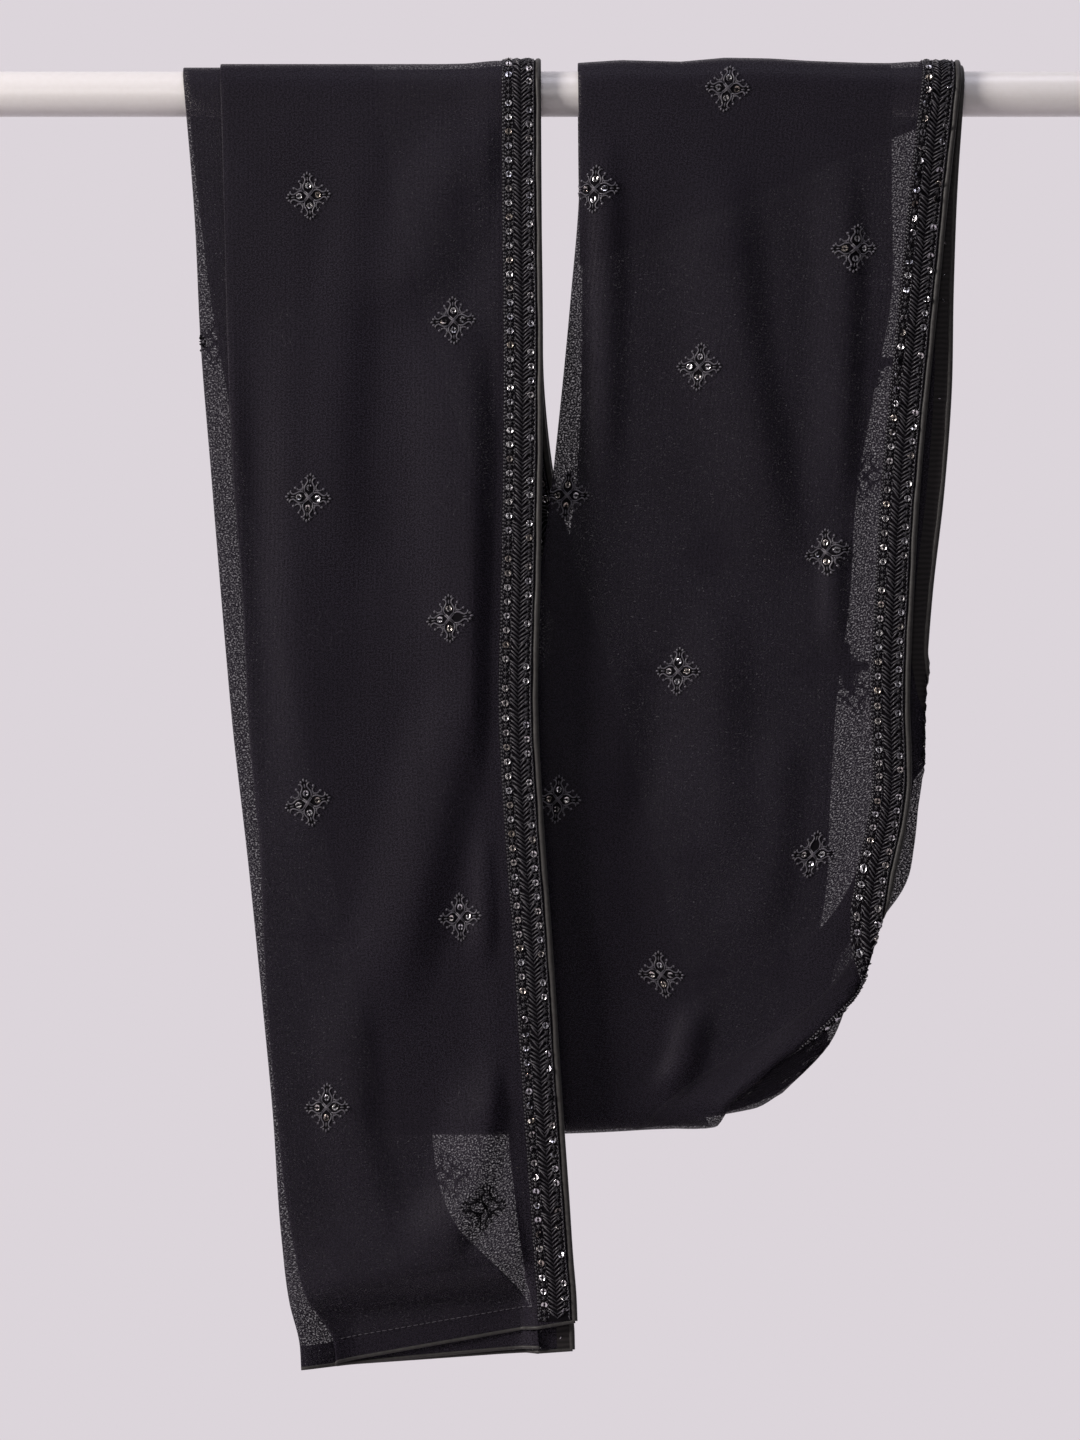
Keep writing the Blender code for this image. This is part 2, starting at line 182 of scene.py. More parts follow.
# A tuck lifts the layer beside its crest: how far, by how much is tucked under it, and over what width
TUCK_LIFTS = 2.0 * MM
TUCK_LIFTS_FULLY = 20 * MM
TUCK_LIFT_WIDTH = 45 * MM
# Steps over which the directions on a layer are felt
WAY_STEP = 0.004
ACROSS_STEP = 1.5 * MM

# The front fall bags out above its hem and is pressed in just over it: how far, and between which heights
HEM_BAGGED = 5 * MM
HEM_BAGGED_FROM = 100 * MM
HEM_PRESSED = 15 * MM
HEM_PRESSED_FROM = 47 * MM
HEM_PRESSED_TO = 30 * MM
HEM_BAG_EASES_OVER = 0.22  # of the band's width, in from its folds

# The borders stand out by a step, and the creases and most of the ripples stop short of them.
BORDER_STEP_REACH = 26 * MM
BORDER_STEP_EASES_OVER = 22 * MM
CREASES_STOP = 23 * MM
CREASES_EASE_OVER = 9 * MM
ENDS_EASE_OVER = 30 * MM
BORDER_RIPPLE = 0.35

# How far the band puffs up off the rail, by place along it, in millimetres
PUFF_ACROSS = (-230, -60, -15, 20, 50, 87, 115, 143, 167, 200, 260)
PUFF_UP = (0, 0, 1.0, 0.5, 2.5, 1.5, 4.0, 3.5, 2.0, 0.8, 0)

FALL, OVER_LEFT, BACK, TURN, SWAG, OVER_RIGHT, HANGING_TAIL = range(7)
WHOLE_WAY = 7
BAND_END = WHOLE_WAY - 1e-6
# Which side of the rail each part hangs on (the front is -1), how far off it comes to lie, and over what drop
HANGS = {
    FALL: (-1, FALL_FORWARD, FALL_EASES_OVER),
    BACK: (1, LOOP_BACK, LOOP_EASES_OVER),
    SWAG: (-1, LOOP_FRONT, LOOP_EASES_OVER),
    HANGING_TAIL: (1, STACK_RADIUS, LOOP_EASES_OVER),
}
# The sheets meet over the rail and under the loop.
SEAMS = (1.5, 3.5, 5.5)
STRETCH_NAMES = ("front_fall", "back_drop", "front_swag", "tail")
STRETCHES = tuple(zip(STRETCH_NAMES, (0.0, *SEAMS), (*SEAMS, 7.0)))  # name, first and last way
CREASES = {
    FALL: FRONT_FALL_CREASES,
    BACK: BACK_DROP_CREASES,
    SWAG: FRONT_SWAG_CREASES,
    HANGING_TAIL: TAIL_CREASES,
}


def smooth(t):
    t = np.clip(t, 0.0, 1.0)
    return t * t * (3 - 2 * t)


def mix(a, b, t):
    return a + (b - a) * t


def share_down(part, t):
    """A share of a part counted down from the rail: the fall and the swag are followed upwards."""
    return 1 - t if part in (FALL, SWAG) else t


def hermite(start, end, start_slope, end_slope, t):
    """A cubic from start to end whose slopes at t = 0 and t = 1 are given."""
    return (
        start * (2 * t**3 - 3 * t**2 + 1)
        + end * (3 * t**2 - 2 * t**3)
        + start_slope * (t**3 - 2 * t**2 + t)
        + end_slope * (t**3 - t**2)
    )


def columns_of(table):
    rows = np.array(table, float)
    shares = rows[:, 0].tolist()
    lines = {}
    for i, name in enumerate(LINES):
        values = rows[:, 1 + i] * MM
        lines[name] = (values.tolist(), np.gradient(values, shares).tolist())
    return shares, lines


SECTIONS = {
    FALL: columns_of(FRONT_FALL),
    BACK: columns_of(BACK_DROP),
    SWAG: columns_of(FRONT_SWAG),
    HANGING_TAIL: columns_of(TAIL),
}


def line_through_tables(name, way):
    """Where an edge or fold lies along the rail at one way."""
    part = min(max(math.floor(way), FALL), HANGING_TAIL)
    t = way - part
    if part in SECTIONS:
        shares, lines = SECTIONS[part]
        values, slopes = lines[name]
        at = min(max(share_down(part, t), 0.0), 1.0)
        i = max(min(bisect.bisect_right(shares, at) - 1, len(shares) - 2), 0)
        width = shares[i + 1] - shares[i]
        return hermite(values[i], values[i + 1], slopes[i] * width, slopes[i + 1] * width, (at - shares[i]) / width)
    # A bend carries on at the slopes of the drops that it joins: down before the turn, up before the rail.
    (before, before_slopes), (after, after_slopes) = (SECTIONS[part + side][1][name] for side in (-1, 1))
    end, down = (-1, 1) if part == TURN else (0, -1)
    reach = down * math.pi * (LOOP_RADIUS if part == TURN else STACK_RADIUS) / LOOP_DROP
    return hermite(before[end], after[end], before_slopes[end] * reach, -after_slopes[end] * reach, t)


LINE_STEPS = 240  # to each part of the way
LINE_WAYS = np.linspace(0, BAND_END, LINE_STEPS * WHOLE_WAY + 1)
LINE_PLACES = {name: np.array([line_through_tables(name, way) for way in LINE_WAYS]) for name in LINES}

for side, rows in TUCKS.items():
    table = np.array(rows, float)
    crest = LINE_PLACES["edge_" + side] - np.interp(LINE_WAYS, table[:, 0], table[:, 1]) * MM
    under = np.interp(LINE_WAYS, table[:, 0], table[:, 2]) * MM
    LINE_PLACES["crest_" + side] = crest
    LINE_PLACES["tucked_" + side] = under
    # Where the long edge would lie if the tucked cloth were laid out flat
    LINE_PLACES["sewn_" + side] = crest + under

FALL_LENGTH = 772 * MM
TAIL_LENGTH = 62 * MM
OVER_RAIL = math.pi * STACK_RADIUS
UNDER_LOOP = math.pi * LOOP_RADIUS
# Distance down the middle of the band at the start of each part and at its end
PART_STARTS = np.cumsum([0, FALL_LENGTH, OVER_RAIL, LOOP_DROP, UNDER_LOOP, LOOP_DROP, OVER_RAIL, TAIL_LENGTH])
LENGTH_END = PART_STARTS[-1] - 1e-6


def line(name, way):
    return np.interp(way, LINE_WAYS, LINE_PLACES[name])


def to_length(way):
    return np.interp(way, range(WHOLE_WAY + 1), PART_STARTS)


def to_way(length):
    return np.interp(length, PART_STARTS, range(WHOLE_WAY + 1))


def drop_at(part):
    """How far a hanging part drops along its middle."""
    return {FALL: sum(FALL_DROP) / 2, HANGING_TAIL: sum(TAIL_DROP) / 2}.get(part, LOOP_DROP)


def way_down(part, share):
    """The way at a share of a part's drop."""
    return part + share_down(part, share)


# The share of its length over which a crease fades in, and out again
CREASE_FADES = 0.3
RIPPLE_HEIGHT = 0.28 * MM
LAYER_PHASE = 2.1
RIPPLES = (
    # height, then two waves that cross: millimetres across and down to a radian, phase, and share of the layer's
    (1.0, (21, 160, 0, 1), (-90, 57, 0, 1.7)),
    (0.6, (11.5, -70, 2, 1), (41, 33, 0, 0)),
    (0.35, (6.4, 31, 0, 1), (-26, 19, 1, 0)),
)


def crease_height(part, x, down):
    """How far the main creases lift the band out."""
    out = np.zeros_like(x)
    for points, to_left, to_right, height in CREASES.get(part, ()):
        across = np.array([p[0] for p in points]) * MM
        depth = np.array([p[1] for p in points]) * MM
        slope = np.interp(down, (depth[1:] + depth[:-1]) / 2, np.diff(across) / np.diff(depth))
        aside = (x - np.interp(down, depth, across)) / np.sqrt(1 + slope**2)
        width = np.where(aside < 0, to_left, to_right) * MM
        fades = CREASE_FADES * (depth[-1] - depth[0])
        fade = smooth((down - depth[0]) / fades) * smooth((depth[-1] - down) / fades)
        out += height * MM * fade * smooth(1 - abs(aside) / width)
    return out


def ripple(x, along, layer):
    """Small uneven waves, a little different on each layer."""
    height = 0
    for share, *pair in RIPPLES:
        for across, down, phase, by_layer in pair:
            share = share * np.sin(x / MM / across + along / MM / down + phase + layer * LAYER_PHASE * by_layer)
        height = height + share
    return RIPPLE_HEIGHT * height


def foot_of(part, across, layer):
    """How far below the rail a part's foot lies, by share of the way across the band."""
    if part == FALL:
        rear = np.interp(layer, range(4), REAR_SHARES)
        return mix(*FALL_DROP, across) + FALL_REAR_EXTRA * across * rear
    if part == HANGING_TAIL:
        return mix(*TAIL_DROP, across)
    return LOOP_DROP - LOOP_CORNER_LIFT * np.maximum(across, 0) ** LOOP_CORNER_POWER


def over_rail(x, t, lift):
    """The stack over the rail, puffed up where it isn't pulled tight: y and z."""
    radius = STACK_RADIUS + lift
    radius = radius + np.interp(x / MM, PUFF_ACROSS, PUFF_UP) * MM * np.sin(np.pi * t)
    return -radius * np.cos(np.pi * t), radius * np.sin(np.pi * t)


def under_loop(t, lift, drop):
    """The stack round the foot of the loop: y and z."""
    radius = LOOP_RADIUS + lift
    return LOOP_MIDDLE + radius * np.cos(np.pi * t), -drop - radius * np.sin(np.pi * t)


def hanging(part, x, down, lift, drop, across, clear, layer):
    """The stack where it hangs, with its creases and ripples: y and z."""
    ends = smooth(down / ENDS_EASE_OVER)
    out = lift + crease_height(part, x, down) * clear
    above_foot = drop - down
    if part == FALL:
        bagged = smooth((HEM_BAGGED_FROM - above_foot) / (HEM_BAGGED_FROM - HEM_PRESSED_FROM))
        pressed = smooth((HEM_PRESSED_FROM - above_foot) / (HEM_PRESSED_FROM - HEM_PRESSED_TO))
        bag = (HEM_BAGGED * bagged - HEM_PRESSED * pressed) * clear
        out = out + bag * smooth(across / HEM_BAG_EASES_OVER)
    else:
        ends = ends * smooth(above_foot / ENDS_EASE_OVER)
    out = out + ripple(x, down, layer) * ends * mix(BORDER_RIPPLE, 1, clear)
    side, clear_of_rail, eases_over = HANGS[part]
    return side * (mix(STACK_RADIUS, clear_of_rail, smooth(down / eases_over)) + out), -down


def middle(x, way, layer=0.0):
    """The middle of the stack, with its creases, at places along the rail."""
    x, way, layer = np.broadcast_arrays(*(np.asarray(a, float) for a in (x, way, layer)))
    part = np.clip(np.floor(way), 0, WHOLE_WAY - 1)
    t = way - part
    left = np.minimum(line("fold_left_outer", way), line("fold_left_inner", way))
    edge_inner, edge_outer = line("edge_inner", way), line("edge_outer", way)
    across = (x - left) / (np.maximum(edge_outer, edge_inner) - left)
    lift = BORDER_STEP * (1 - smooth((edge_inner - x - BORDER_STEP_REACH) / BORDER_STEP_EASES_OVER))
    clear = smooth((np.minimum(edge_outer, edge_inner) - x - CREASES_STOP) / CREASES_EASE_OVER)
    places = np.zeros(x.shape + (3,))
    places[..., 0] = x
    for which in np.unique(part).astype(int).tolist():
        at = part == which
        drop = foot_of(which, across[at], layer[at])
        if which in (OVER_LEFT, OVER_RIGHT):
            spots = over_rail(x[at], t[at], lift[at])
        elif which == TURN:
            spots = under_loop(t[at], lift[at], drop)
        else:
            down = drop * share_down(which, t[at])
            spots = hanging(which, x[at], down, lift[at], drop, across[at], clear[at], layer[at])
        places[at, 1], places[at, 2] = spots
    return places


def pitch_at(z, way):
    on_rail = np.isin(np.clip(np.floor(way), 0, WHOLE_WAY - 1), (OVER_LEFT, OVER_RIGHT))
    return np.where(on_rail, PITCH_ON_RAIL, mix(PITCH_ON_RAIL, PITCH_HANGING, smooth(-z / PITCH_EASES_OVER)))


def unit(vectors):
    return vectors / np.linalg.norm(vectors, axis=-1, keepdims=True)


def distances(places):
    """How far along a line of places each one lies."""
    return np.concatenate([[0], np.cumsum(np.linalg.norm(np.diff(places, axis=0), axis=1))])


def round_angles(sides, shift=0):
    """Even angles all round a circle, shifted by a part of a step."""
    return (np.arange(sides) + shift) / sides * 2 * np.pi


def surface(x, way, layer=0.0, raised=0.0, rolled=True):
    """Places on one layer, at a height above its middle on the side away from the rail, and the way out there."""
    x, way, layer, raised = np.broadcast_arrays(*(np.asarray(a, float) for a in (x, way, layer, raised)))
    # A tucked border: past the crest its layer turns through half a circle and runs back inwards.
    is_inner = layer > 1.5
    crest = np.where(is_inner, line("crest_inner", way), line("crest_outer", way))
    tucked = np.where(is_inner, line("tucked_inner", way), line("tucked_outer", way))
    tucked = np.where(((layer < 0.5) | (layer > 2.5)) & rolled, tucked, 0.0)
    past = np.where(tucked > LEAST_TUCK, np.maximum(x - crest, 0.0), 0.0)
    angle = np.minimum(past / TUCK_RADIUS, np.pi)
    back = np.maximum(past - np.pi * TUCK_RADIUS, 0.0)
    x = np.where(past > 0, crest + TUCK_RADIUS * np.sin(angle) - back, x)
    base = middle(x, way, layer)
    along = middle(x, way + WAY_STEP, layer) - middle(x, way - WAY_STEP, layer)
    aside = middle(x + ACROSS_STEP, way, layer) - middle(x - ACROSS_STEP, way, layer)
    outward = unit(np.cross(aside, along))
    sideways = unit(aside)
    beside = smooth(1 - (crest - x) / TUCK_LIFT_WIDTH)
    bulge = TUCK_LIFTS * smooth(tucked / TUCK_LIFTS_FULLY) * beside * (layer < 0.5)
    height = (1.5 - layer) * pitch_at(base[..., 2], way) + bulge - TUCK_RADIUS * (1 - np.cos(angle))
    height = height + raised * np.cos(angle)
    places = base + outward * height[..., None] + sideways * (raised * np.sin(angle))[..., None]
    facing_out = outward * np.cos(angle)[..., None] + sideways * np.sin(angle)[..., None]
    return places, facing_out


# ---------------------------------------------------------------- meshes


def add_object(name, data):
    made = bpy.data.objects.new(name, data)
    bpy.context.scene.collection.objects.link(made)
    return made


def add_piece(name, points, faces, finish, slot, uvs=None):
    """A mesh piece that rides on the rail's body. Faces are rows of point numbers, all of one length."""
    mesh = bpy.data.meshes.new(name)
    points, faces = np.asarray(points, np.float32).reshape(-1, 3), np.asarray(faces, np.int32)
    sides = faces.shape[1]
    mesh.vertices.add(len(points))
    mesh.vertices.foreach_set("co", points.ravel())
    mesh.loops.add(faces.size)
    mesh.loops.foreach_set("vertex_index", faces.ravel())
    mesh.polygons.add(len(faces))
    mesh.polygons.foreach_set("loop_start", np.arange(0, faces.size, sides, dtype=np.int32))
    mesh.update(calc_edges=True)
    mesh.polygons.foreach_set("use_smooth", np.full(len(faces), True))
    if uvs is not None:
        layer = mesh.uv_layers.new(name="cloth")
        layer.data.foreach_set("uv", np.asarray(uvs, np.float32).reshape(-1, 2)[faces.ravel()].ravel())
    mesh.materials.append(finish)
    piece = add_object(name, mesh)
    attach(piece, "root")
    return piece


def grid_faces(rows, columns, first=0, closed=False):
    """Four-sided faces between rows of points; closed joins the last column to the first."""
    row, column = np.meshgrid(np.arange(rows - 1), np.arange(columns - (not closed)), indexing="ij")
    a = first + row * columns + column
    b = first + row * columns + (column + 1) % columns
    return np.stack([a, b, b + columns, a + columns], axis=-1).reshape(-1, 4)


def repeated(template_faces, copies, points_each):
    """The faces of many copies of one small shape, whose points follow each other."""
    steps = np.arange(copies)[:, None, None] * points_each
    return (template_faces[None] + steps).reshape(-1, template_faces.shape[1])


# ---------------------------------------------------------------- the ground cloth

BINDING_RADIUS = 1.6 * MM
CLOTH_STARTS = 1.4 * MM
ROW_COUNTS = (
    # rows through the fall, over the rail, down the back, round the turn, up the swag, over the rail, the tail
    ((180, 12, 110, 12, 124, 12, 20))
)
RUN_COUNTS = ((52, 24, 28, 50))
FOLD_STEPS = 5


def section_columns(way):
    """Across sections of the band, from the outer long edge to the inner: x, layer, and the cloth's width so far."""
    way = np.asarray(way, float)[:, None]
    _, first, second, third, inner = (line(name, way) for name in LINES)
    outer, inner = line("sewn_outer", way), line("sewn_inner", way)
    x_parts, layer_parts = [], []
    bounds = ((outer - CLOTH_STARTS, first), (first, second), (second, third), (third, inner - CLOTH_STARTS))
    turn = np.full_like(outer, PITCH_HANGING / 2)
    for layer, ((start, end), steps) in enumerate(zip(bounds, RUN_COUNTS)):
        heading = -1 if layer % 2 == 0 else 1
        start = start + heading * turn if layer > 0 else start
        end = end - heading * turn if layer < 3 else end
        share = np.linspace(0, 1, steps + 1)[None, :]
        x_parts.append(mix(start, end, share))
        layer_parts.append(np.broadcast_to(float(layer), x_parts[-1].shape))
        if layer < 3:
            # A soft half circle round the lengthwise fold
            angle = np.linspace(0, np.pi, FOLD_STEPS + 1)[None, 1:-1]
            x_parts.append(end + heading * turn * np.sin(angle))
            layer_parts.append(np.broadcast_to(layer + (1 - np.cos(angle)) / 2, x_parts[-1].shape))
    x, layers = np.concatenate(x_parts, axis=1), np.concatenate(layer_parts, axis=1)
    steps = np.abs(np.diff(x, axis=1)) + np.abs(np.diff(layers, axis=1)) * PITCH_HANGING
    return x, layers, np.concatenate([np.zeros((len(x), 1)), np.cumsum(steps, axis=1)], axis=1)


BAND_WAYS = [part + np.arange(rows) / rows for part, rows in enumerate(ROW_COUNTS)]
BAND_WAYS = np.unique(np.concatenate([*BAND_WAYS, SEAMS, [BAND_END]]))
BAND_MIDDLE = (line("edge_outer", BAND_WAYS) + line("fold_left_outer", BAND_WAYS)) / 2
BAND_LENGTHS = distances(surface(BAND_MIDDLE, BAND_WAYS)[0])


def build_cloth(finish):
    pieces = {}
    for name, first, last in STRETCHES:
        ways = BAND_WAYS[(BAND_WAYS >= first) & (BAND_WAYS <= last)]
        x, layers, widths = section_columns(ways)
        points, _ = surface(x, ways[:, None], layers)
        lengths = np.interp(ways, BAND_WAYS, BAND_LENGTHS)[:, None]
        uvs = np.stack([widths, np.broadcast_to(lengths, widths.shape)], axis=-1)
        piece = add_piece("cloth_" + name, points, grid_faces(*x.shape), finish, "georgette", uvs)
        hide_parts("cloth_" + name)
        pieces[name] = (piece, float(widths[:, -1].mean()), float(lengths[-1, 0] - lengths[0, 0]))
    return pieces


# ---------------------------------------------------------------- places measured from a long edge


def edge_map(side):
    """A grid of places beside a long edge, by distance along it and by inset square to it.

    Each inset is reached by walking inwards over the cloth in small steps from the one before.
    """
    layer = 0 if side == "outer" else 3

    def flat(x, down):
        return surface(x, to_way(down), layer, rolled=False)[0]

    ways = to_way(np.linspace(0, LENGTH_END, EDGE_MAP_COLUMNS))
    x = line("sewn_" + side, ways)
    places = flat(x, to_length(ways))
    lengths = distances(places)
    down = to_length(ways)
    edge = unit(np.gradient(places, axis=0))
    grid_x, grid_down = [x], [down]
    heading = None
    for _ in range(int(round(EDGE_MAP_REACH / EDGE_MAP_STEP))):
        by_x = (flat(x, down) - flat(x - EDGE_MAP_FEELS, down)) / EDGE_MAP_FEELS
        by_down = (flat(x, down + EDGE_MAP_FEELS) - flat(x, down - EDGE_MAP_FEELS)) / (2 * EDGE_MAP_FEELS)
        out = unit(np.cross(by_x, by_down))
        if heading is None:
            heading = np.cross(out, edge)
            heading = heading * np.sign(-(heading * by_x).sum(-1, keepdims=True))
        heading = unit(heading - out * (heading * out).sum(-1, keepdims=True))
        a, b, c = (by_x * by_x).sum(-1), (by_x * by_down).sum(-1), (by_down * by_down).sum(-1)
        p, q = (heading * by_x).sum(-1), (heading * by_down).sum(-1)
        whole = a * c - b * b
        x = x + (p * c - q * b) / whole * EDGE_MAP_STEP
        down = np.clip(down + (q * a - p * b) / whole * EDGE_MAP_STEP, 0, LENGTH_END)
        grid_x.append(x)
        grid_down.append(down)
    return lengths, np.array(grid_x), np.array(grid_down)


EDGE_MAP_COLUMNS = 1500
EDGE_MAP_STEP = 2 * MM
EDGE_MAP_FEELS = 0.5 * MM
EDGE_MAP_REACH = 26 * MM
EDGE_MAPS = {side: edge_map(side) for side in ("outer", "inner")}


def from_edge(side, along, inset):
    """Turns a distance along a long edge and an inset square to it into x and way."""
    along, inset = np.broadcast_arrays(np.asarray(along, float), np.asarray(inset, float))
    lengths, grid_x, grid_down = EDGE_MAPS[side]
    at = np.interp(along, lengths, np.arange(len(lengths)))
    i = np.clip(at.astype(int), 0, len(lengths) - 2)
    f = at - i
    step = inset / EDGE_MAP_STEP
    j = np.clip(np.floor(step).astype(int), 0, len(grid_x) - 2)
    g = step - j

    def look_up(grid):
        near = grid[j, i] * (1 - f) + grid[j, i + 1] * f
        far = grid[j + 1, i] * (1 - f) + grid[j + 1, i + 1] * f
        return near * (1 - g) + far * g

    return look_up(grid_x), to_way(look_up(grid_down))


def beside_edge(side, along, inset, up):
    """Places beside a long edge at a height above the cloth's right side."""
    x, way = from_edge(side, along, inset)
    if side == "outer":
        return surface(x, way, 0, up)[0], way
    return surface(x, way, 3, -up)[0], way


def turned(shape, cos, sin):
    """A small shape turned where it lies."""
    made = shape.copy()
    made[..., 0] = shape[..., 0] * cos - shape[..., 1] * sin
    made[..., 1] = shape[..., 0] * sin + shape[..., 1] * cos
    return made


def sewn_on(side, along, inset, template, turn=None, tilt=None):
    """A small shape repeated beside a long edge; its points are (inward, along, up)."""
    shapes = np.broadcast_to(template, (len(along),) + template.shape).copy()
    if turn is not None:
        shapes = turned(shapes, np.cos(turn)[:, None], np.sin(turn)[:, None])
    if tilt is not None:
        shapes[..., 2] += shapes[..., 0] * tilt[:, :1] + shapes[..., 1] * tilt[:, 1:]
    inset = np.broadcast_to(inset, len(along))[:, None]
    points, _ = beside_edge(side, along[:, None] + shapes[..., 1], inset + shapes[..., 0], shapes[..., 2])
    return points, from_edge(side, along, inset[:, 0])[1]


# ---------------------------------------------------------------- small shapes, in metres as (inward, along, up)


def tube(points, radius, sides=5, taper=0.55):
    """A cord along a line of points that lies on the cloth, closed at both ends."""
    path = np.asarray(points, float)
    tangent = unit(np.gradient(path, axis=0))
    aside = np.stack([-tangent[:, 1], tangent[:, 0], np.zeros(len(path))], axis=1)
    upward = np.cross(tangent, aside)
    thin = np.ones(len(path))
    thin[0] = thin[-1] = taper
    angle = round_angles(sides) + np.pi / 2
    ring = aside[:, None] * np.cos(angle)[None, :, None] + upward[:, None] * np.sin(angle)[None, :, None]
    verts = path[:, None] + ring * (radius * thin)[:, None, None]
    verts = np.concatenate([verts.reshape(-1, 3), path[:1], path[-1:]])
    faces = grid_faces(len(path), sides, closed=True)
    first, last, start = len(verts) - 2, len(verts) - 1, (len(path) - 1) * sides
    caps = [(first, (i + 1) % sides, i, first) for i in range(sides)]
    caps += [(last, start + i, start + (i + 1) % sides, last) for i in range(sides)]
    return verts, np.concatenate([faces, np.array(caps)])


def cord(points, radius, sides=4):
    """A tube whose points are in millimetres."""
    return tube(np.array(points, float) * MM, radius, sides)


KNOT_RINGS = ((1.0, 0.0), (0.86, 0.55), (0.45, 0.92))
BEAD_RINGS = ((1.0, 0.0),)


def bead(across, along, wide, long, high, sides=5, rings=BEAD_RINGS):
    """A tiny raised knot: rings, each with its share of the width and of the height, closed to a point on top."""
    verts = [
        (across + wide * reach * math.cos(a), along + long * reach * math.sin(a), high * rise)
        for reach, rise in rings
        for a in round_angles(sides)
    ]
    last, point = len(verts) - sides, len(verts)
    faces = grid_faces(len(rings), sides, closed=True).tolist()
    faces += [(last + i, last + (i + 1) % sides, point, point) for i in range(sides)]
    return np.array(verts + [(across, along, high)]), np.array(faces)


def joined(shapes):
    """Several small shapes as one."""
    points, faces, count = [], [], 0
    for verts, quads in shapes:
        points.append(verts)
        faces.append(quads + count)
        count += len(verts)
    return np.concatenate(points), np.concatenate(faces)


def triangles(faces):
    """Four-sided faces as triangles, with the ones that close to a point kept once."""
    a, b, c, d = faces.T
    first = np.stack([a, b, c], axis=1)
    second = np.stack([a, c, d], axis=1)
    both = np.concatenate([first, second])
    whole = (both[:, 0] != both[:, 1]) & (both[:, 1] != both[:, 2]) & (both[:, 0] != both[:, 2])
    return both[whole]


SEQUIN_RADIUS = 2.0 * MM
SEQUIN_SIDES = 12
SEQUIN_UP = 0.5 * MM
# Share of the radius, and millimetres up
SEQUIN_RINGS = ((0.4, 0.0), (0.84, 0.10), (1.0, 0.36), (0.98, 0.28))
STITCH_REACH = np.array([-2.3, -1.85, 0.0, 1.85, 2.3]) * MM
STITCH_RISE = np.array([-0.35, 0.45, 0.2, 0.45, -0.35]) * MM
STITCH_THREAD = 0.38 * MM
STITCH_DOT = (0.85 * MM, 0.85 * MM, 0.32 * MM)


def sequin_shape(across=0.0, along=0.0, height=SEQUIN_UP):
    """A cupped sequin: a nearly flat ring round its hole, then a narrow rim that turns up."""
    verts = []
    for share, rise in SEQUIN_RINGS:
        reach = SEQUIN_RADIUS * share
        for a in round_angles(SEQUIN_SIDES, 0.5):
            verts.append((across + reach * math.cos(a), along + reach * math.sin(a), height + rise * MM))
    return np.array(verts), grid_faces(len(SEQUIN_RINGS), SEQUIN_SIDES, closed=True)


def stitch_over_sequin(across=0.0, along=0.0, heading=0.0, height=SEQUIN_UP):
    """The thread that holds a sequin: out of its hole and over its rim on both sides."""
    xs, ys = across + STITCH_REACH * math.cos(heading), along + STITCH_REACH * math.sin(heading)
    path = np.stack([xs, ys, height + STITCH_RISE], axis=1)
    dot, dot_faces = bead(across, along, *STITCH_DOT, 6)
    dot[:, 2] += height
    return joined([tube(path, STITCH_THREAD, sides=3), (dot, dot_faces)])


# ---------------------------------------------------------------- finishes


def linear(colour):
    """A hex sRGB colour as linear red, green, blue and 1."""
    parts = [int(colour[i : i + 2], 16) / 255 for i in (1, 3, 5)]
    return (*[p / 12.92 if p <= 0.04045 else ((p + 0.055) / 1.055) ** 2.4 for p in parts], 1.0)


def add_node(tree, kind, inputs=None, **settings):
    """Adds a node with its settings; each input is a value, or another node's output to link."""
    made = tree.nodes.new(kind)
    for name, value in settings.items():
        setattr(made, name, value)
    for name, value in (inputs or {}).items():
        if isinstance(value, bpy.types.NodeSocket):
            tree.links.new(value, made.inputs[name])
        else:
            made.inputs[name].default_value = value
    return made


def new_finish(name):
    finish = bpy.data.materials.new(name)
    finish.use_nodes = True
    tree = finish.node_tree
    return finish, tree, tree.nodes["Principled BSDF"]


def set_inputs(shader, **values):
    for name, value in values.items():
        shader.inputs[name.replace("_", " ")].default_value = value


def shade_and_relief(tree, shader, shade, dark, light, relief, strength, depth):
    """Shades a finish between two colours by one pattern, and raises it by another to a depth in millimetres."""
    tint = add_node(tree, "ShaderNodeMix", {"Factor": shade, "A": linear(dark), "B": linear(light)}, data_type="RGBA")
    tree.links.new(tint.outputs["Result"], shader.inputs["Base Color"])
    bump = add_node(tree, "ShaderNodeBump", {"Height": relief, "Strength": strength, "Distance": depth * MM})
    tree.links.new(bump.outputs["Normal"], shader.inputs["Normal"])


def grained_finish(name, grains_per_mm, detail, dark, light, strength, depth, **values):
    """A finish whose shade and relief follow one fine grain."""
    finish, tree, shader = new_finish(name)
    place = add_node(tree, "ShaderNodeTexCoord").outputs["Object"]
    grain = add_node(tree, "ShaderNodeTexNoise", {"Vector": place, "Scale": grains_per_mm / MM, "Detail": detail})
    grain = grain.outputs["Fac"]
    shade_and_relief(tree, shader, grain, dark, light, grain, strength, depth)
    set_inputs(shader, **values)
    return finish


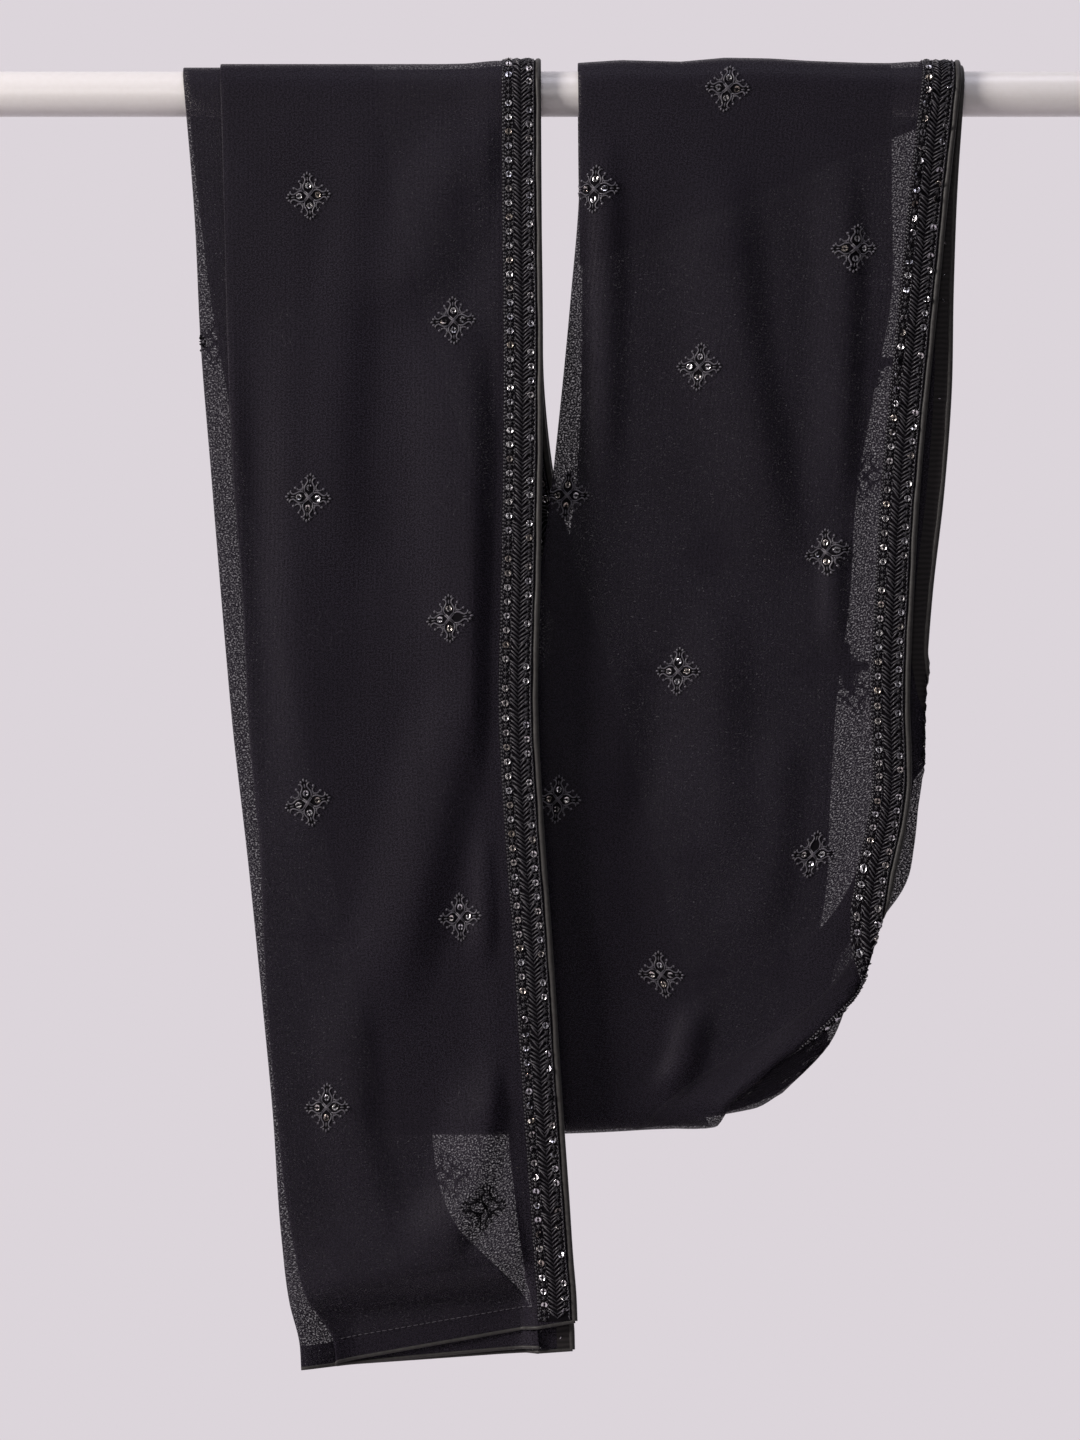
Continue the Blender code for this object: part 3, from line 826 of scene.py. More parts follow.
def black_crepe_georgette():
    """Black polyester georgette, woven of hard-twisted crepe yarns about 0.3 mm apart: sheer, dry and pebbled, so
    light comes through it in grains. The yarns are too fine to show, so the pebbles are drawn about 1 mm apart,
    and faint lines of warp about 3 mm apart."""
    finish, tree, shader = new_finish("black_crepe_georgette")
    place = add_node(tree, "ShaderNodeUVMap", uv_map="cloth").outputs["UV"]
    pebbles = add_node(
        tree, "ShaderNodeTexNoise", {"Vector": place, "Scale": 0.98 / MM, "Detail": 1.0, "Roughness": 0.5}
    ).outputs["Fac"]
    warp = add_node(
        tree,
        "ShaderNodeTexWave",
        {"Vector": place, "Scale": 0.11 / MM, "Distortion": 2.0, "Detail": 1.0},
        wave_type="BANDS",
        bands_direction="X",
    ).outputs["Fac"]
    drift = add_node(tree, "ShaderNodeTexNoise", {"Vector": place, "Scale": 9.0, "Detail": 2.0}).outputs["Fac"]
    # Between the pebbles the weave is open, and less than half of what lies behind is covered.
    cover = add_node(
        tree,
        "ShaderNodeMapRange",
        {"Value": pebbles, "From Min": 0.37, "From Max": 0.57, "To Min": 0.43, "To Max": 1.0},
    )
    tree.links.new(cover.outputs["Result"], shader.inputs["Alpha"])
    grain = add_node(tree, "ShaderNodeMath", {0: pebbles, 1: warp}, operation="ADD").outputs["Value"]
    shade_and_relief(tree, shader, drift, "#1f1c23", "#28252e", grain, 0.25, 0.2)
    set_inputs(shader, Roughness=0.5, Specular_IOR_Level=0.1, Sheen_Weight=0.03, Sheen_Roughness=0.35)
    set_inputs(shader, Sheen_Tint=linear("#b9b2c4"))
    return finish


def black_viscose_thread_painted_glint(name, painted_glint):
    """Embroidery thread of black viscose, twisted and lustrous. Its thin grey glints along the twist are painted
    highlights, a lighter colour mixed into its black by a fine grain. The braid's copy has these painted glints
    darker, as painted shade for close stitches shading each other."""
    lustre = dict(Roughness=0.34, Specular_IOR_Level=0.7, Sheen_Weight=0.15)
    # The grain mixes a grey painted highlight into the thread's black colour.
    return grained_finish(name, 1.4, 1.0, "#18171c", painted_glint, 0.5, 0.15, **lustre)


def border_ground():
    """The backed ground under the border's embroidery: close black satin stitches that let no light through."""
    dull = dict(Roughness=0.85, Specular_IOR_Level=0.08)
    return grained_finish("black_stitched_ground", 0.9, 2.0, "#08070a", "#141217", 0.6, 0.25, **dull)


def sequin_film():
    """Cupped sequins punched from metallised PET film: mirror-like, a little scratched, silver with a cool or a
    bronze cast from one to the next."""
    finish, tree, shader = new_finish("silvered_sequin_film")
    chance = add_node(tree, "ShaderNodeNewGeometry").outputs["Random Per Island"]
    cast = add_node(tree, "ShaderNodeValToRGB", {"Fac": chance})
    stops = cast.color_ramp.elements
    stops[0].color, stops[1].color = linear("#c9c9d2"), linear("#a89f96")
    stops.new(0.55).color = linear("#e4e3e6")
    tree.links.new(cast.outputs["Color"], shader.inputs["Base Color"])
    place = add_node(tree, "ShaderNodeTexCoord").outputs["Object"]
    scuffs = add_node(tree, "ShaderNodeTexNoise", {"Vector": place, "Scale": 1.6 / MM, "Detail": 2.0}).outputs["Fac"]
    dull = add_node(
        tree, "ShaderNodeMapRange", {"Value": scuffs, "From Min": 0.3, "From Max": 0.7, "To Min": 0.14, "To Max": 0.34}
    )
    tree.links.new(dull.outputs["Result"], shader.inputs["Roughness"])
    set_inputs(shader, Metallic=1.0)
    return finish


def satin_binding():
    """Bias satin folded over the cut edge. Its charcoal colour is painted sheen, standing in for the light its floats
    catch, and a grain mottles it a little where they are pulled."""
    soft = dict(Roughness=0.5, Specular_IOR_Level=0.25, Sheen_Weight=0.05)
    # The charcoal shades over the black satin are painted sheen.
    return grained_finish("bias_satin_painted_sheen", 0.42, 3.0, "#1b1a1b", "#434240", 0.4, 0.2, **soft)


def satin_turning():
    """The wrong side of the binding, pressed flat: brown-black, dull, with close ribs across it. Real ribs are
    under 1 mm apart; they are drawn about 3 mm apart so that they show."""
    finish, tree, shader = new_finish("brown_black_satin_back")
    place = add_node(tree, "ShaderNodeTexCoord").outputs["Object"]
    ribs = add_node(
        tree,
        "ShaderNodeTexWave",
        {"Vector": place, "Scale": 0.095 / MM, "Distortion": 3.0, "Detail": 2.0},
        bands_direction="Z",
    ).outputs["Fac"]
    shade_and_relief(tree, shader, ribs, "#151314", "#272425", ribs, 0.3, 0.2)
    set_inputs(shader, Roughness=0.6, Specular_IOR_Level=0.2)
    return finish


def white_enamel():
    """Stove enamel on steel tube: smooth warm white with the faint orange peel of sprayed paint."""
    gloss = dict(Roughness=0.32, Coat_Weight=0.2)
    return grained_finish("white_stove_enamel", 0.3, 1.0, "#e9e6e4", "#efedec", 0.15, 0.1, **gloss)


# ---------------------------------------------------------------- the embroidered borders

BORDER_OUTER_INSET = 3.2 * MM
BORDER_INNER_INSET = 24.2 * MM
SEQUIN_PITCH = 8.8 * MM
OUTER_ROW = 7.4 * MM
INNER_ROW = 20.0 * MM
BRAID_SPINE = 12.4 * MM
# The real braid has a stitch every 2 mm; it is drawn a little coarser, so that its threads show apart.
BRAID_PITCH = 2.6 * MM
CHAIN_ROW = 4.7 * MM
CHAIN_PITCH = 2.7 * MM
DOT_ROW = 23.4 * MM
DOT_PITCH = 2.2 * MM
GROUND_RAISED = 0.35 * MM
# Specks crowd round the sequin rows, at no fixed step: their rows, and their mean pitch
SPECK_ROWS = (INNER_ROW - 2.5 * MM, INNER_ROW + 2.3 * MM, OUTER_ROW - 2.4 * MM)
SPECK_PITCH = 2.1 * MM
SEQUIN_ROWS = (
    # inset, where the first lies, share that is missing
    (INNER_ROW, 0.0, 0.08),
    (OUTER_ROW, SEQUIN_PITCH / 2, 0.3),
)
EDGE_STEP = 3 * MM

# Each thread lies along a line of (inward, along, up) points in millimetres. Two slanting stitches a step make the
# braid: a long one inside its spine and a short one outside.
LONG_STITCH = ((-6.0, 4.6, 0.0), (-3.2, 2.6, 0.75), (-0.1, 0.1, 0.1))
SHORT_STITCH = ((5.0, 4.0, 0.0), (2.6, 2.2, 0.7), (0.2, 0.0, 0.1))
CHAIN_LINK = ((-0.3, -1.1, 0.1), (0.25, 0, 0.5), (-0.3, 1.2, 0.1))
LONG_THREAD, SHORT_THREAD, CHAIN_THREAD, STAR_THREAD = 0.46 * MM, 0.44 * MM, 0.42 * MM, 0.36 * MM
SHORT_STITCH_LATER = 0.5 * MM
BRAID_SWAYS = 0.10
# Half width, half length and height
DOT = (0.6 * MM, 0.75 * MM, 0.6 * MM)
SPECK = (0.55 * MM, 0.75 * MM, 0.65 * MM)
DOT_STRAYS = 0.1 * MM
SPECK_STRAYS = (0.3 * MM, 0.4 * MM)  # inwards, along
SPECKS_START = 0.7 * MM
STAR = (
    ((-1.3, -1.2, 0.0), (0, 0, 0.6), (1.3, 1.2, 0.0)),
    ((-1.3, 1.2, 0.0), (0, 0, 0.7), (1.3, -1.2, 0.0)),
    ((0, -1.7, 0.0), (0, 0, 0.85), (0, 1.7, 0.0)),
)
# How unevenly the sequins lie, by way: those pressed askew near the hem and the rail catch less light
SEQUIN_TILTS = ((0, 0.22, 0.3, 1, 4, 4.6, 4.72, 5, 7), (0.6, 0.6, 0.1, 0.1, 0.12, 0.12, 0.7, 0.7, 0.2))


def stretch_of(way):
    """Which of the four stretches each way lies in."""
    return np.searchsorted(SEAMS, way)


def along_stretch(side, first, last):
    """Steps along a long edge through the stretch from one way to another."""
    lengths, _, grid_down = EDGE_MAPS[side]
    start, end = np.interp(to_length([first, last]), grid_down[0], lengths)
    return np.linspace(start, end, max(int((end - start) / EDGE_STEP), 2))


def by_stretch():
    """An empty list of small shapes for each stretch."""
    return [[] for _ in STRETCHES]


def add_sewn(prefix, kinds):
    """One piece for each stretch and kind of work: kinds gives each kind's finish and its shapes by stretch."""
    for number, (name, _, _) in enumerate(STRETCHES):
        for kind, (finish, shapes) in kinds.items():
            if shapes[number]:
                add_piece(f"{prefix}_{name}_{kind}", *joined(shapes[number]), finish, "embroidery")


def border_strip(side, finish):
    """The backed ground of one border, a thin strip on the right side of the cloth."""
    insets = np.linspace(BORDER_OUTER_INSET, BORDER_INNER_INSET, 11)
    raised = np.array([0.1] + [1] * 9 + [0.1]) * GROUND_RAISED
    for name, first, last in STRETCHES:
        along = along_stretch(side, first, last)
        points, _ = beside_edge(side, along[:, None], insets[None, :], raised[None, :])
        node_name = f"border_{side}_{name}"
        piece = add_piece(node_name, points, grid_faces(*points.shape[:2]), finish, "embroidery")
        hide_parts(node_name)


def border_embroidery(side, thread, film, ground):
    """Everything sewn on one border: its threads, its sequins and the stitches that hold them."""
    start, end = 2 * MM, EDGE_MAPS[side][0][-1] - 2 * MM
    threads, sequins, stitches = by_stretch(), by_stretch(), by_stretch()

    def spaced(pitch, offset=0.0):
        return np.arange(start + offset, end, pitch)

    def sew(shape, along, inset, into=threads, **askew):
        verts, faces = shape
        points, ways = sewn_on(side, along, inset, verts + np.array([0, 0, GROUND_RAISED]), **askew)
        numbers = stretch_of(ways)
        for number in np.unique(numbers):
            chosen = points[numbers == number]
            copies = repeated(triangles(faces), len(chosen), len(verts))
            into[number].append((chosen.reshape(-1, 3), copies))

    steps = spaced(BRAID_PITCH)
    sway = CHANCE.normal(0, BRAID_SWAYS, len(steps))
    sew(cord(LONG_STITCH, LONG_THREAD), steps, BRAID_SPINE, turn=sway)
    sew(cord(SHORT_STITCH, SHORT_THREAD), steps + SHORT_STITCH_LATER, BRAID_SPINE, turn=-sway)
    sew(cord(CHAIN_LINK, CHAIN_THREAD), spaced(CHAIN_PITCH), CHAIN_ROW)
    dots = spaced(DOT_PITCH)
    sew(bead(0, 0, *DOT), dots, DOT_ROW + CHANCE.normal(0, DOT_STRAYS, len(dots)))
    for inset in SPECK_ROWS:
        specks = spaced(SPECK_PITCH, SPECKS_START)
        specks = specks + CHANCE.normal(0, SPECK_STRAYS[1], len(specks))
        sew(bead(0, 0, *SPECK, 4), specks, inset + CHANCE.normal(0, SPECK_STRAYS[0], len(specks)))
    # A small star lies between each two sequins of a row, and where one is missing.
    star = joined([cord(points, STAR_THREAD, 3) for points in STAR])
    for inset, offset, missing in SEQUIN_ROWS:
        spots = spaced(SEQUIN_PITCH, offset)
        sew(star, spots + SEQUIN_PITCH / 2, inset)
        kept = CHANCE.random(len(spots)) > missing
        sew(star, spots[~kept], inset)
        unruly = np.interp(from_edge(side, spots[kept], inset)[1], *SEQUIN_TILTS)
        tilt = CHANCE.normal(0, 1, (int(kept.sum()), 2)) * unruly[:, None]
        sew(sequin_shape(), spots[kept], inset, sequins, tilt=tilt)
        sew(stitch_over_sequin(heading=math.pi / 2), spots[kept], inset, stitches, tilt=tilt)
    kinds = {"thread": (thread, threads), "sequins": (film, sequins), "stitches": (ground, stitches)}
    add_sewn("border_" + side, kinds)


BINDING_SIDES = 8
BINDING_WIDENED, BINDING_FLATTENED = 1.05, 0.8
# The share of its width by which it swells and narrows, and over what length
BINDING_WOBBLES = ((0.06, 11 * MM), (0.04, 4.3 * MM))
FACING_STARTS = 2 * MM
FACING_WIDTH = 11 * MM
# How far under the cloth the turning lies, from its edge inwards, in millimetres
FACING_UNDER = (-0.5, -0.35, -0.35, -0.1)


def edge_binding(side, finish, turning_finish):
    """The satin binding: a slightly flattened roll over the cut edge, and its wide turning on the wrong side."""
    angle = round_angles(BINDING_SIDES)
    for name, first, last in STRETCHES:
        along = along_stretch(side, first, last)
        wobble = sum((share * np.sin(along / length) for share, length in BINDING_WOBBLES), 1)[:, None]
        across = BINDING_RADIUS * (1 + BINDING_WIDENED * np.cos(angle)[None, :]) * wobble
        up = BINDING_RADIUS * BINDING_FLATTENED * np.sin(angle)[None, :] * wobble
        points, _ = beside_edge(side, along[:, None], across, up)
        faces = grid_faces(len(along), BINDING_SIDES, closed=True)
        insets = np.linspace(FACING_STARTS, FACING_WIDTH, len(FACING_UNDER))
        turning, _ = beside_edge(side, along[:, None], insets[None, :], np.array(FACING_UNDER)[None, :] * MM)
        node_name = f"binding_{side}_{name}"
        piece = add_piece(node_name, points, faces, finish, "satin")
        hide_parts(node_name)
        add_piece(f"turning_{side}_{name}", turning, grid_faces(*turning.shape[:2]), turning_finish, "satin")


# ---------------------------------------------------------------- the scattered motifs


# How far in from its long edge each column of motifs lies, in millimetres
MOTIF_COLUMNS = (55, 143.3, 231.6, 320)
MOTIF_COLUMNS_INNER = (50, 138.3, 226.6, 315, 403)
# The swag's third column lies on the folded edge that is turned to the eye: its own inset, and its first motif
SWAG_THIRD_COLUMN = (218, 61)
MOTIF_DOWNS = {
    # how far down the first motif of an even and of an odd column is, the pitch, and how far down motifs go
    FALL: (144, 65, 184.5, 748),
    BACK: (62, 150, 186, 588),
    SWAG: (98, 170, 188, 588),
    HANGING_TAIL: (150, 56, 186, 88),
}
# A motif that starts above the rail's top shows in part on the fall and swag, which run on over the rail.
FIRST_DOWN = {FALL: -22, SWAG: -22, BACK: 14, HANGING_TAIL: 14}
# In millimetres: how far past its layer's fold a motif may turn, and the room it needs at the other folds
FOLD_ROOM = 6
FIRST_FOLD_ROOM = 12
SECOND_FOLD_ROOM = 14
# Two layers show over the fall's hem, below this far down and right of this x, and only dark motifs show there.
HEM_WINDOW_DOWN, HEM_WINDOW_LEFT = 690, -45
MOTIFS_MISSING_SEQUINS = 0.1
MOTIF_SCALE = (0.9, 0.97, 1.0)
MOTIF_THREAD = 0.47 * MM
# Seen dark through one sheer layer, a motif's threads close up.
DARK_THREAD = 0.66 * MM
MOTIF_SEQUIN_UP = 0.35 * MM
# How unevenly motifs, their sequins and the stitches over them are sewn
MOTIF_TURNS = 0.07
SEQUIN_STRAYS = 0.12 * MM
SEQUIN_LEANS = 0.17
STITCH_TURNS = 0.15
PETAL_SEQUINS = (
    # across, along, and the heading of the stitch that holds it
    (0, 6.4, math.pi / 2),
    (0, -6.4, math.pi / 2),
    (6.4, 0, 0.0),
    (-6.4, 0, 0.0),
)
QUARTER_TURNS = ((1, 0), (0, 1), (-1, 0), (0, -1))
# Half of the upper petal and its tendril, as (across, along) in millimetres; the other half mirrors them
PETAL = ((2.9, 3.3), (3.55, 5.0), (3.3, 7.0), (2.2, 8.8), (1.55, 10.2), (1.9, 11.6), (3.1, 12.6), (4.0, 12.3))
TENDRIL = ((4.6, 4.2), (5.0, 5.6), (4.5, 6.9), (4.8, 8.2), (5.7, 8.4))
PETAL_FILLING = (
    (0, 0.6), (2.4, 2.1), (4.1, 4.3), (4.5, 7.2), (3.0, 9.4), (2.6, 11.6), (3.5, 13.2), (1.8, 14.8), (0, 15.5)
)
CROWN_KNOTS = (
    # across, along, half width, half length, height, sides
    (5.7, 9.7, 0.85, 0.9, 0.75, 6),
    (1.9, 13.6, 0.75, 1.0, 0.7, 6),
    (4.2, 6.0, 0.5, 0.5, 0.5, 5),
)
TOP_KNOT = (0, 14.6, 0.7, 1.15, 0.8)
PETAL_VEIN = ((0, 9.3, 0.25), (0, 10.6, 0.45), (0, 11.9, 0.2))
VEIN_THREAD = 0.42 * MM


def motif_threads(radius):
    """Four ogee petals round their sequins, a crossed heart, crowns of three knots and curled tendrils."""
    shapes = []
    for a in (-0.35, 0.35):
        for turn in (1, -1):
            heart = [(at + a, turn * (at - a), height) for at, height in ((-2.9, 0.25), (0, 0.6), (2.9, 0.25))]
            shapes.append(cord(heart, radius))
    quarter = []
    for side in (-1, 1):
        quarter.append(cord([(side * x, y, 0.3) for x, y in PETAL], radius, 5))
        quarter.append(cord([(side * x, y, 0.28) for x, y in TENDRIL], 0.8 * radius))
        for across, *sizes, sides in CROWN_KNOTS:
            quarter.append(bead(*(np.array([side * across, *sizes]) * MM), sides, KNOT_RINGS))
    quarter.append(bead(*(np.array(TOP_KNOT) * MM), 6, KNOT_RINGS))
    quarter.append(cord(PETAL_VEIN, VEIN_THREAD))
    verts, faces = joined(quarter)
    return joined(shapes + [(turned(verts, cos, sin), faces) for cos, sin in QUARTER_TURNS])


def motif_backing():
    """The close black stitches that fill each petal, flat on the cloth."""
    outline = PETAL_FILLING + tuple((-x, y) for x, y in PETAL_FILLING[-2:0:-1])
    verts = np.array([(0, 7, 0.16)] + [(x, y, 0.06) for x, y in outline]) * MM
    count = len(outline)
    faces = np.array([(0, 1 + i, 1 + (i + 1) % count, 1 + (i + 1) % count) for i in range(count)])
    return joined([(turned(verts, cos, sin), faces) for cos, sin in QUARTER_TURNS])


# The edge or fold that places on each layer are measured from
NEAREST_LINES = ("sewn_outer", "fold_left_outer", "fold_left_inner", "sewn_inner")
# How far up and down the cloth is measured round a motif, in millimetres
MOTIF_REACH = 24
CLEAR_OF_CLOTH = 0.05 * MM


def on_cloth(part, down, layer, x, shape):
    """Lays a flat shape on one layer, centred at a place; its points are (across, up the band, height)."""
    way = way_down(part, down * MM / drop_at(part))
    name = NEAREST_LINES[layer]
    near = line(name, way)
    # Distances along the cloth are measured, since the same step of way is longer on one part than on the next.
    lengths = to_length(way) + np.arange(-MOTIF_REACH, MOTIF_REACH + 1, 2) * MM
    ways = to_way(lengths)
    spine, _ = surface(x + line(name, ways) - near, ways, layer)
    measured = distances(spine)
    measured -= measured[MOTIF_REACH // 2]
    ways = to_way(np.interp(shape[:, 1], measured, lengths))
    xs = x + shape[:, 0] + (line(name, ways) - near)
    raised = shape[:, 2] + CLEAR_OF_CLOTH
    facing = 1 if layer % 2 == 0 else -1
    # Past the lengthwise fold at the left the shape turns with its cloth onto the next layer.
    turn = PITCH_HANGING / 2
    starts = line(NEAREST_LINES[1 if layer < 2 else 2], ways) + turn
    past = np.maximum(starts - xs, 0.0)
    angle = np.minimum(past / turn, np.pi)
    round_fold = starts - (turn + raised) * np.sin(angle) + np.maximum(past - np.pi * turn, 0.0)
    xs = np.where(past > 0, round_fold, xs)
    layers = layer + facing * (1 - np.cos(angle)) / 2
    points, _ = surface(xs, ways, layers, raised * facing * np.cos(angle))
    return points, way


def fitted(part, down, side, inset):
    """The layer and x of a motif at an inset from its long edge, or nothing where it has no room."""
    way = way_down(part, min(max(down * MM / drop_at(part), 0), 1))
    first, second, third = (float(line(name, way)) / MM for name in LINES[1:4])
    edge_name, fold, near, beyond = ("sewn_outer", first, 0, 1) if side == "outer" else ("edge_inner", third, 3, 2)
    edge = float(line(edge_name, way)) / MM
    width = edge - fold
    if inset < width + FOLD_ROOM:
        layer, x = near, edge - inset
    else:
        layer, x = beyond, fold + inset - width
        if x > second - SECOND_FOLD_ROOM:
            return None
    hidden = layer > 0 and x < first + FIRST_FOLD_ROOM
    over_hem_window = down > HEM_WINDOW_DOWN and layer == 0 and x > HEM_WINDOW_LEFT
    if part == FALL and (hidden or over_hem_window):
        return None
    return layer, x


def motif_places():
    """Every motif of the columns that has room: part, how far down, layer, x, and that it has its sequins."""
    columns = [("outer", number, inset) for number, inset in enumerate(MOTIF_COLUMNS)]
    columns += [("inner", 9 - number, inset) for number, inset in enumerate(MOTIF_COLUMNS_INNER)]
    found = []
    for part, (even, odd, pitch, lowest) in MOTIF_DOWNS.items():
        for side, number, inset in columns:
            start = odd if number % 2 else even
            if part == SWAG and number == 2:
                inset, start = SWAG_THIRD_COLUMN
            down = start - pitch
            while down < lowest:
                place = fitted(part, down, side, inset) if down > FIRST_DOWN[part] else None
                if place:
                    found.append((part, down, *place, True))
                down += pitch
    return found


# Motifs that show dark where only two layers hang, without sequins: part, how far down, layer and x
DARK_MOTIFS = (
    (FALL, 661, 3, -57.0),
    (FALL, 692, 0, -34.5),
    (FALL, 152.5, 3, -200.0),
    (SWAG, 239, 3, 201.5),
    (SWAG, 374, 3, 193.0),
)


def build_motifs(thread, film, ground):
    """Every motif: its threads, the sequins in its petals, and the black stitches that fill it and hold them."""
    threads, sequins, blacks = by_stretch(), by_stretch(), by_stretch()
    grey_work, dark_work, backing = motif_threads(MOTIF_THREAD), motif_threads(DARK_THREAD), motif_backing()

    def sew(shape, into, part, down, layer, x, turn):
        verts, faces = shape
        shown = turned(verts, math.cos(turn), math.sin(turn)) * MOTIF_SCALE
        points, way = on_cloth(part, down, layer, x * MM, shown)
        into[int(stretch_of(way))].append((points, triangles(faces)))

    for *place, has_sequins in motif_places() + [(*place, False) for place in DARK_MOTIFS]:
        place.append(CHANCE.normal(0, MOTIF_TURNS))
        if not has_sequins:
            sew(dark_work, blacks, *place)
            continue
        sew(grey_work, threads, *place)
        sew(backing, blacks, *place)
        for across, along, heading in PETAL_SEQUINS:
            if CHANCE.random() < MOTIFS_MISSING_SEQUINS:
                continue
            across, along = np.array([across, along]) * MM + CHANCE.normal(0, SEQUIN_STRAYS, 2)
            verts, faces = sequin_shape(across, along, MOTIF_SEQUIN_UP)
            tilt = CHANCE.normal(0, SEQUIN_LEANS, 2)
            verts[:, 2] += (verts[:, 0] - across) * tilt[0] + (verts[:, 1] - along) * tilt[1]
            sew((verts, faces), sequins, *place)
            heading = heading + CHANCE.normal(0, STITCH_TURNS)
            sew(stitch_over_sequin(across, along, heading, MOTIF_SEQUIN_UP), blacks, *place)
    add_sewn("motifs", {"thread": (thread, threads), "sequins": (film, sequins), "fillings": (ground, blacks)})


# ---------------------------------------------------------------- hems

HEM_CORD_RADIUS = 1.1 * MM
HEM_CORD_FLATTENED = 0.7
HEM_CORD_SIDES = 7
TOPSTITCH_UP = 13.5 * MM
TOPSTITCH_LENGTH = 2.6 * MM
TOPSTITCH_PITCH = 3.8 * MM
TOPSTITCH_RISE = (0.0, 0.35, 0.35, 0.0)
TOPSTITCH_THREAD = 0.28 * MM
# Where its row starts past the fold and ends before the border
TOPSTITCH_FROM_FOLD, TOPSTITCH_FROM_EDGE = 4 * MM, 25 * MM
TURNING_UNDER = 0.4 * MM
TURNING_ROWS = 6


def hem_edge(name, part, finish):
    """The corded edge of an end hem, following all four layers."""
    way = 0.0 if part == FALL else BAND_END
    x, layers, _ = section_columns(np.array([way]))
    x, layers = x[0], layers[0]
    place, out = surface(x, way, layers)
    forward = unit(np.gradient(place, axis=0))
    downward = unit(np.cross(forward, out))
    angle = round_angles(HEM_CORD_SIDES)
    ring = downward[:, None] * np.cos(angle)[None, :, None]
    ring = ring + out[:, None] * np.sin(angle)[None, :, None] * HEM_CORD_FLATTENED
    points = place[:, None] + ring * HEM_CORD_RADIUS
    piece = add_piece("hem_edge_" + name, points, grid_faces(len(x), HEM_CORD_SIDES, closed=True), finish, "satin")
    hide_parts("hem_edge_" + name)


def hem_turning(name, part, finish):
    """The turned-up cloth behind an end hem, close under every layer."""
    share = min(TOPSTITCH_UP / drop_at(part), 0.25)
    ways = np.linspace(0, share, TURNING_ROWS) if part == FALL else BAND_END - np.linspace(share, 0, TURNING_ROWS)
    x, layers, widths = section_columns(ways)
    points, _ = surface(x, ways[:, None], layers, -TURNING_UNDER)
    # Its own place in the weave, well away from the ground cloth's
    lengths = np.broadcast_to(3 + to_length(ways)[:, None], widths.shape)
    uvs = np.stack([widths, lengths], axis=-1)
    add_piece("hem_turning_" + name, points, grid_faces(*x.shape), finish, "georgette", uvs)


def topstitch(name, part, thread):
    """A row of small running stitches above the hem, on the outermost layer."""
    share = TOPSTITCH_UP / drop_at(part)
    way = share if part == FALL else WHOLE_WAY - share
    left, right = float(line("fold_left_outer", way)), float(line("edge_outer", way))
    reach = np.linspace(0, TOPSTITCH_LENGTH, len(TOPSTITCH_RISE))
    path = np.stack([reach, np.zeros_like(reach), np.array(TOPSTITCH_RISE) * MM], axis=1)
    verts, faces = tube(path, TOPSTITCH_THREAD, 4)
    shapes = []
    for spot in np.arange(left + TOPSTITCH_FROM_FOLD, right - TOPSTITCH_FROM_EDGE, TOPSTITCH_PITCH):
        points, _ = surface(spot + verts[:, 0], way + verts[:, 1], 0, verts[:, 2] + CLEAR_OF_CLOTH)
        shapes.append((points, triangles(faces)))
    add_piece("topstitch_" + name, *joined(shapes), thread, "embroidery")


# ---------------------------------------------------------------- stage, light and camera


FLOOR_RADIUS = 1.2
FLOOR_SIDES = 64
FLOOR_HEIGHT = -1.2
# The room in front of the rail is this bright, beside the wall behind it.
ROOM_DIMMED = 0.14
SOFTBOXES = (
    # name, place, what it points at, size, watts, colour
    ("key_softbox", (-2.9, -1.3, 0.75), (0.0, 0.0, -0.35), (1.1, 1.1), 140, "#fff7f4"),
    ("top_softbox", (0.3, -0.5, 1.5), (0.0, 0.0, -0.3), (1.2, 0.8), 9, "#f2f0ff"),
    ("front_softbox", (-0.5, -3.5, 0.3), (0.0, 0.0, -0.35), (1.2, 1.2), 11, "#fffaf6"),
)
CAMERA_AWAY = 3.0
CAMERA_HEIGHT = -0.388
VIEW_HEIGHT = 0.8928
SENSOR_HEIGHT = 36  # millimetres


def area_light(name, place, aim, size, power, colour):
    light = bpy.data.lights.new(name, "AREA")
    light.shape = "RECTANGLE"
    light.size, light.size_y = size
    light.energy = power
    light.color = linear(colour)[:3]
    made = add_object(name, light)
    made.location = place
    made.rotation_euler = (Vector(aim) - Vector(place)).to_track_quat("-Z", "Y").to_euler()


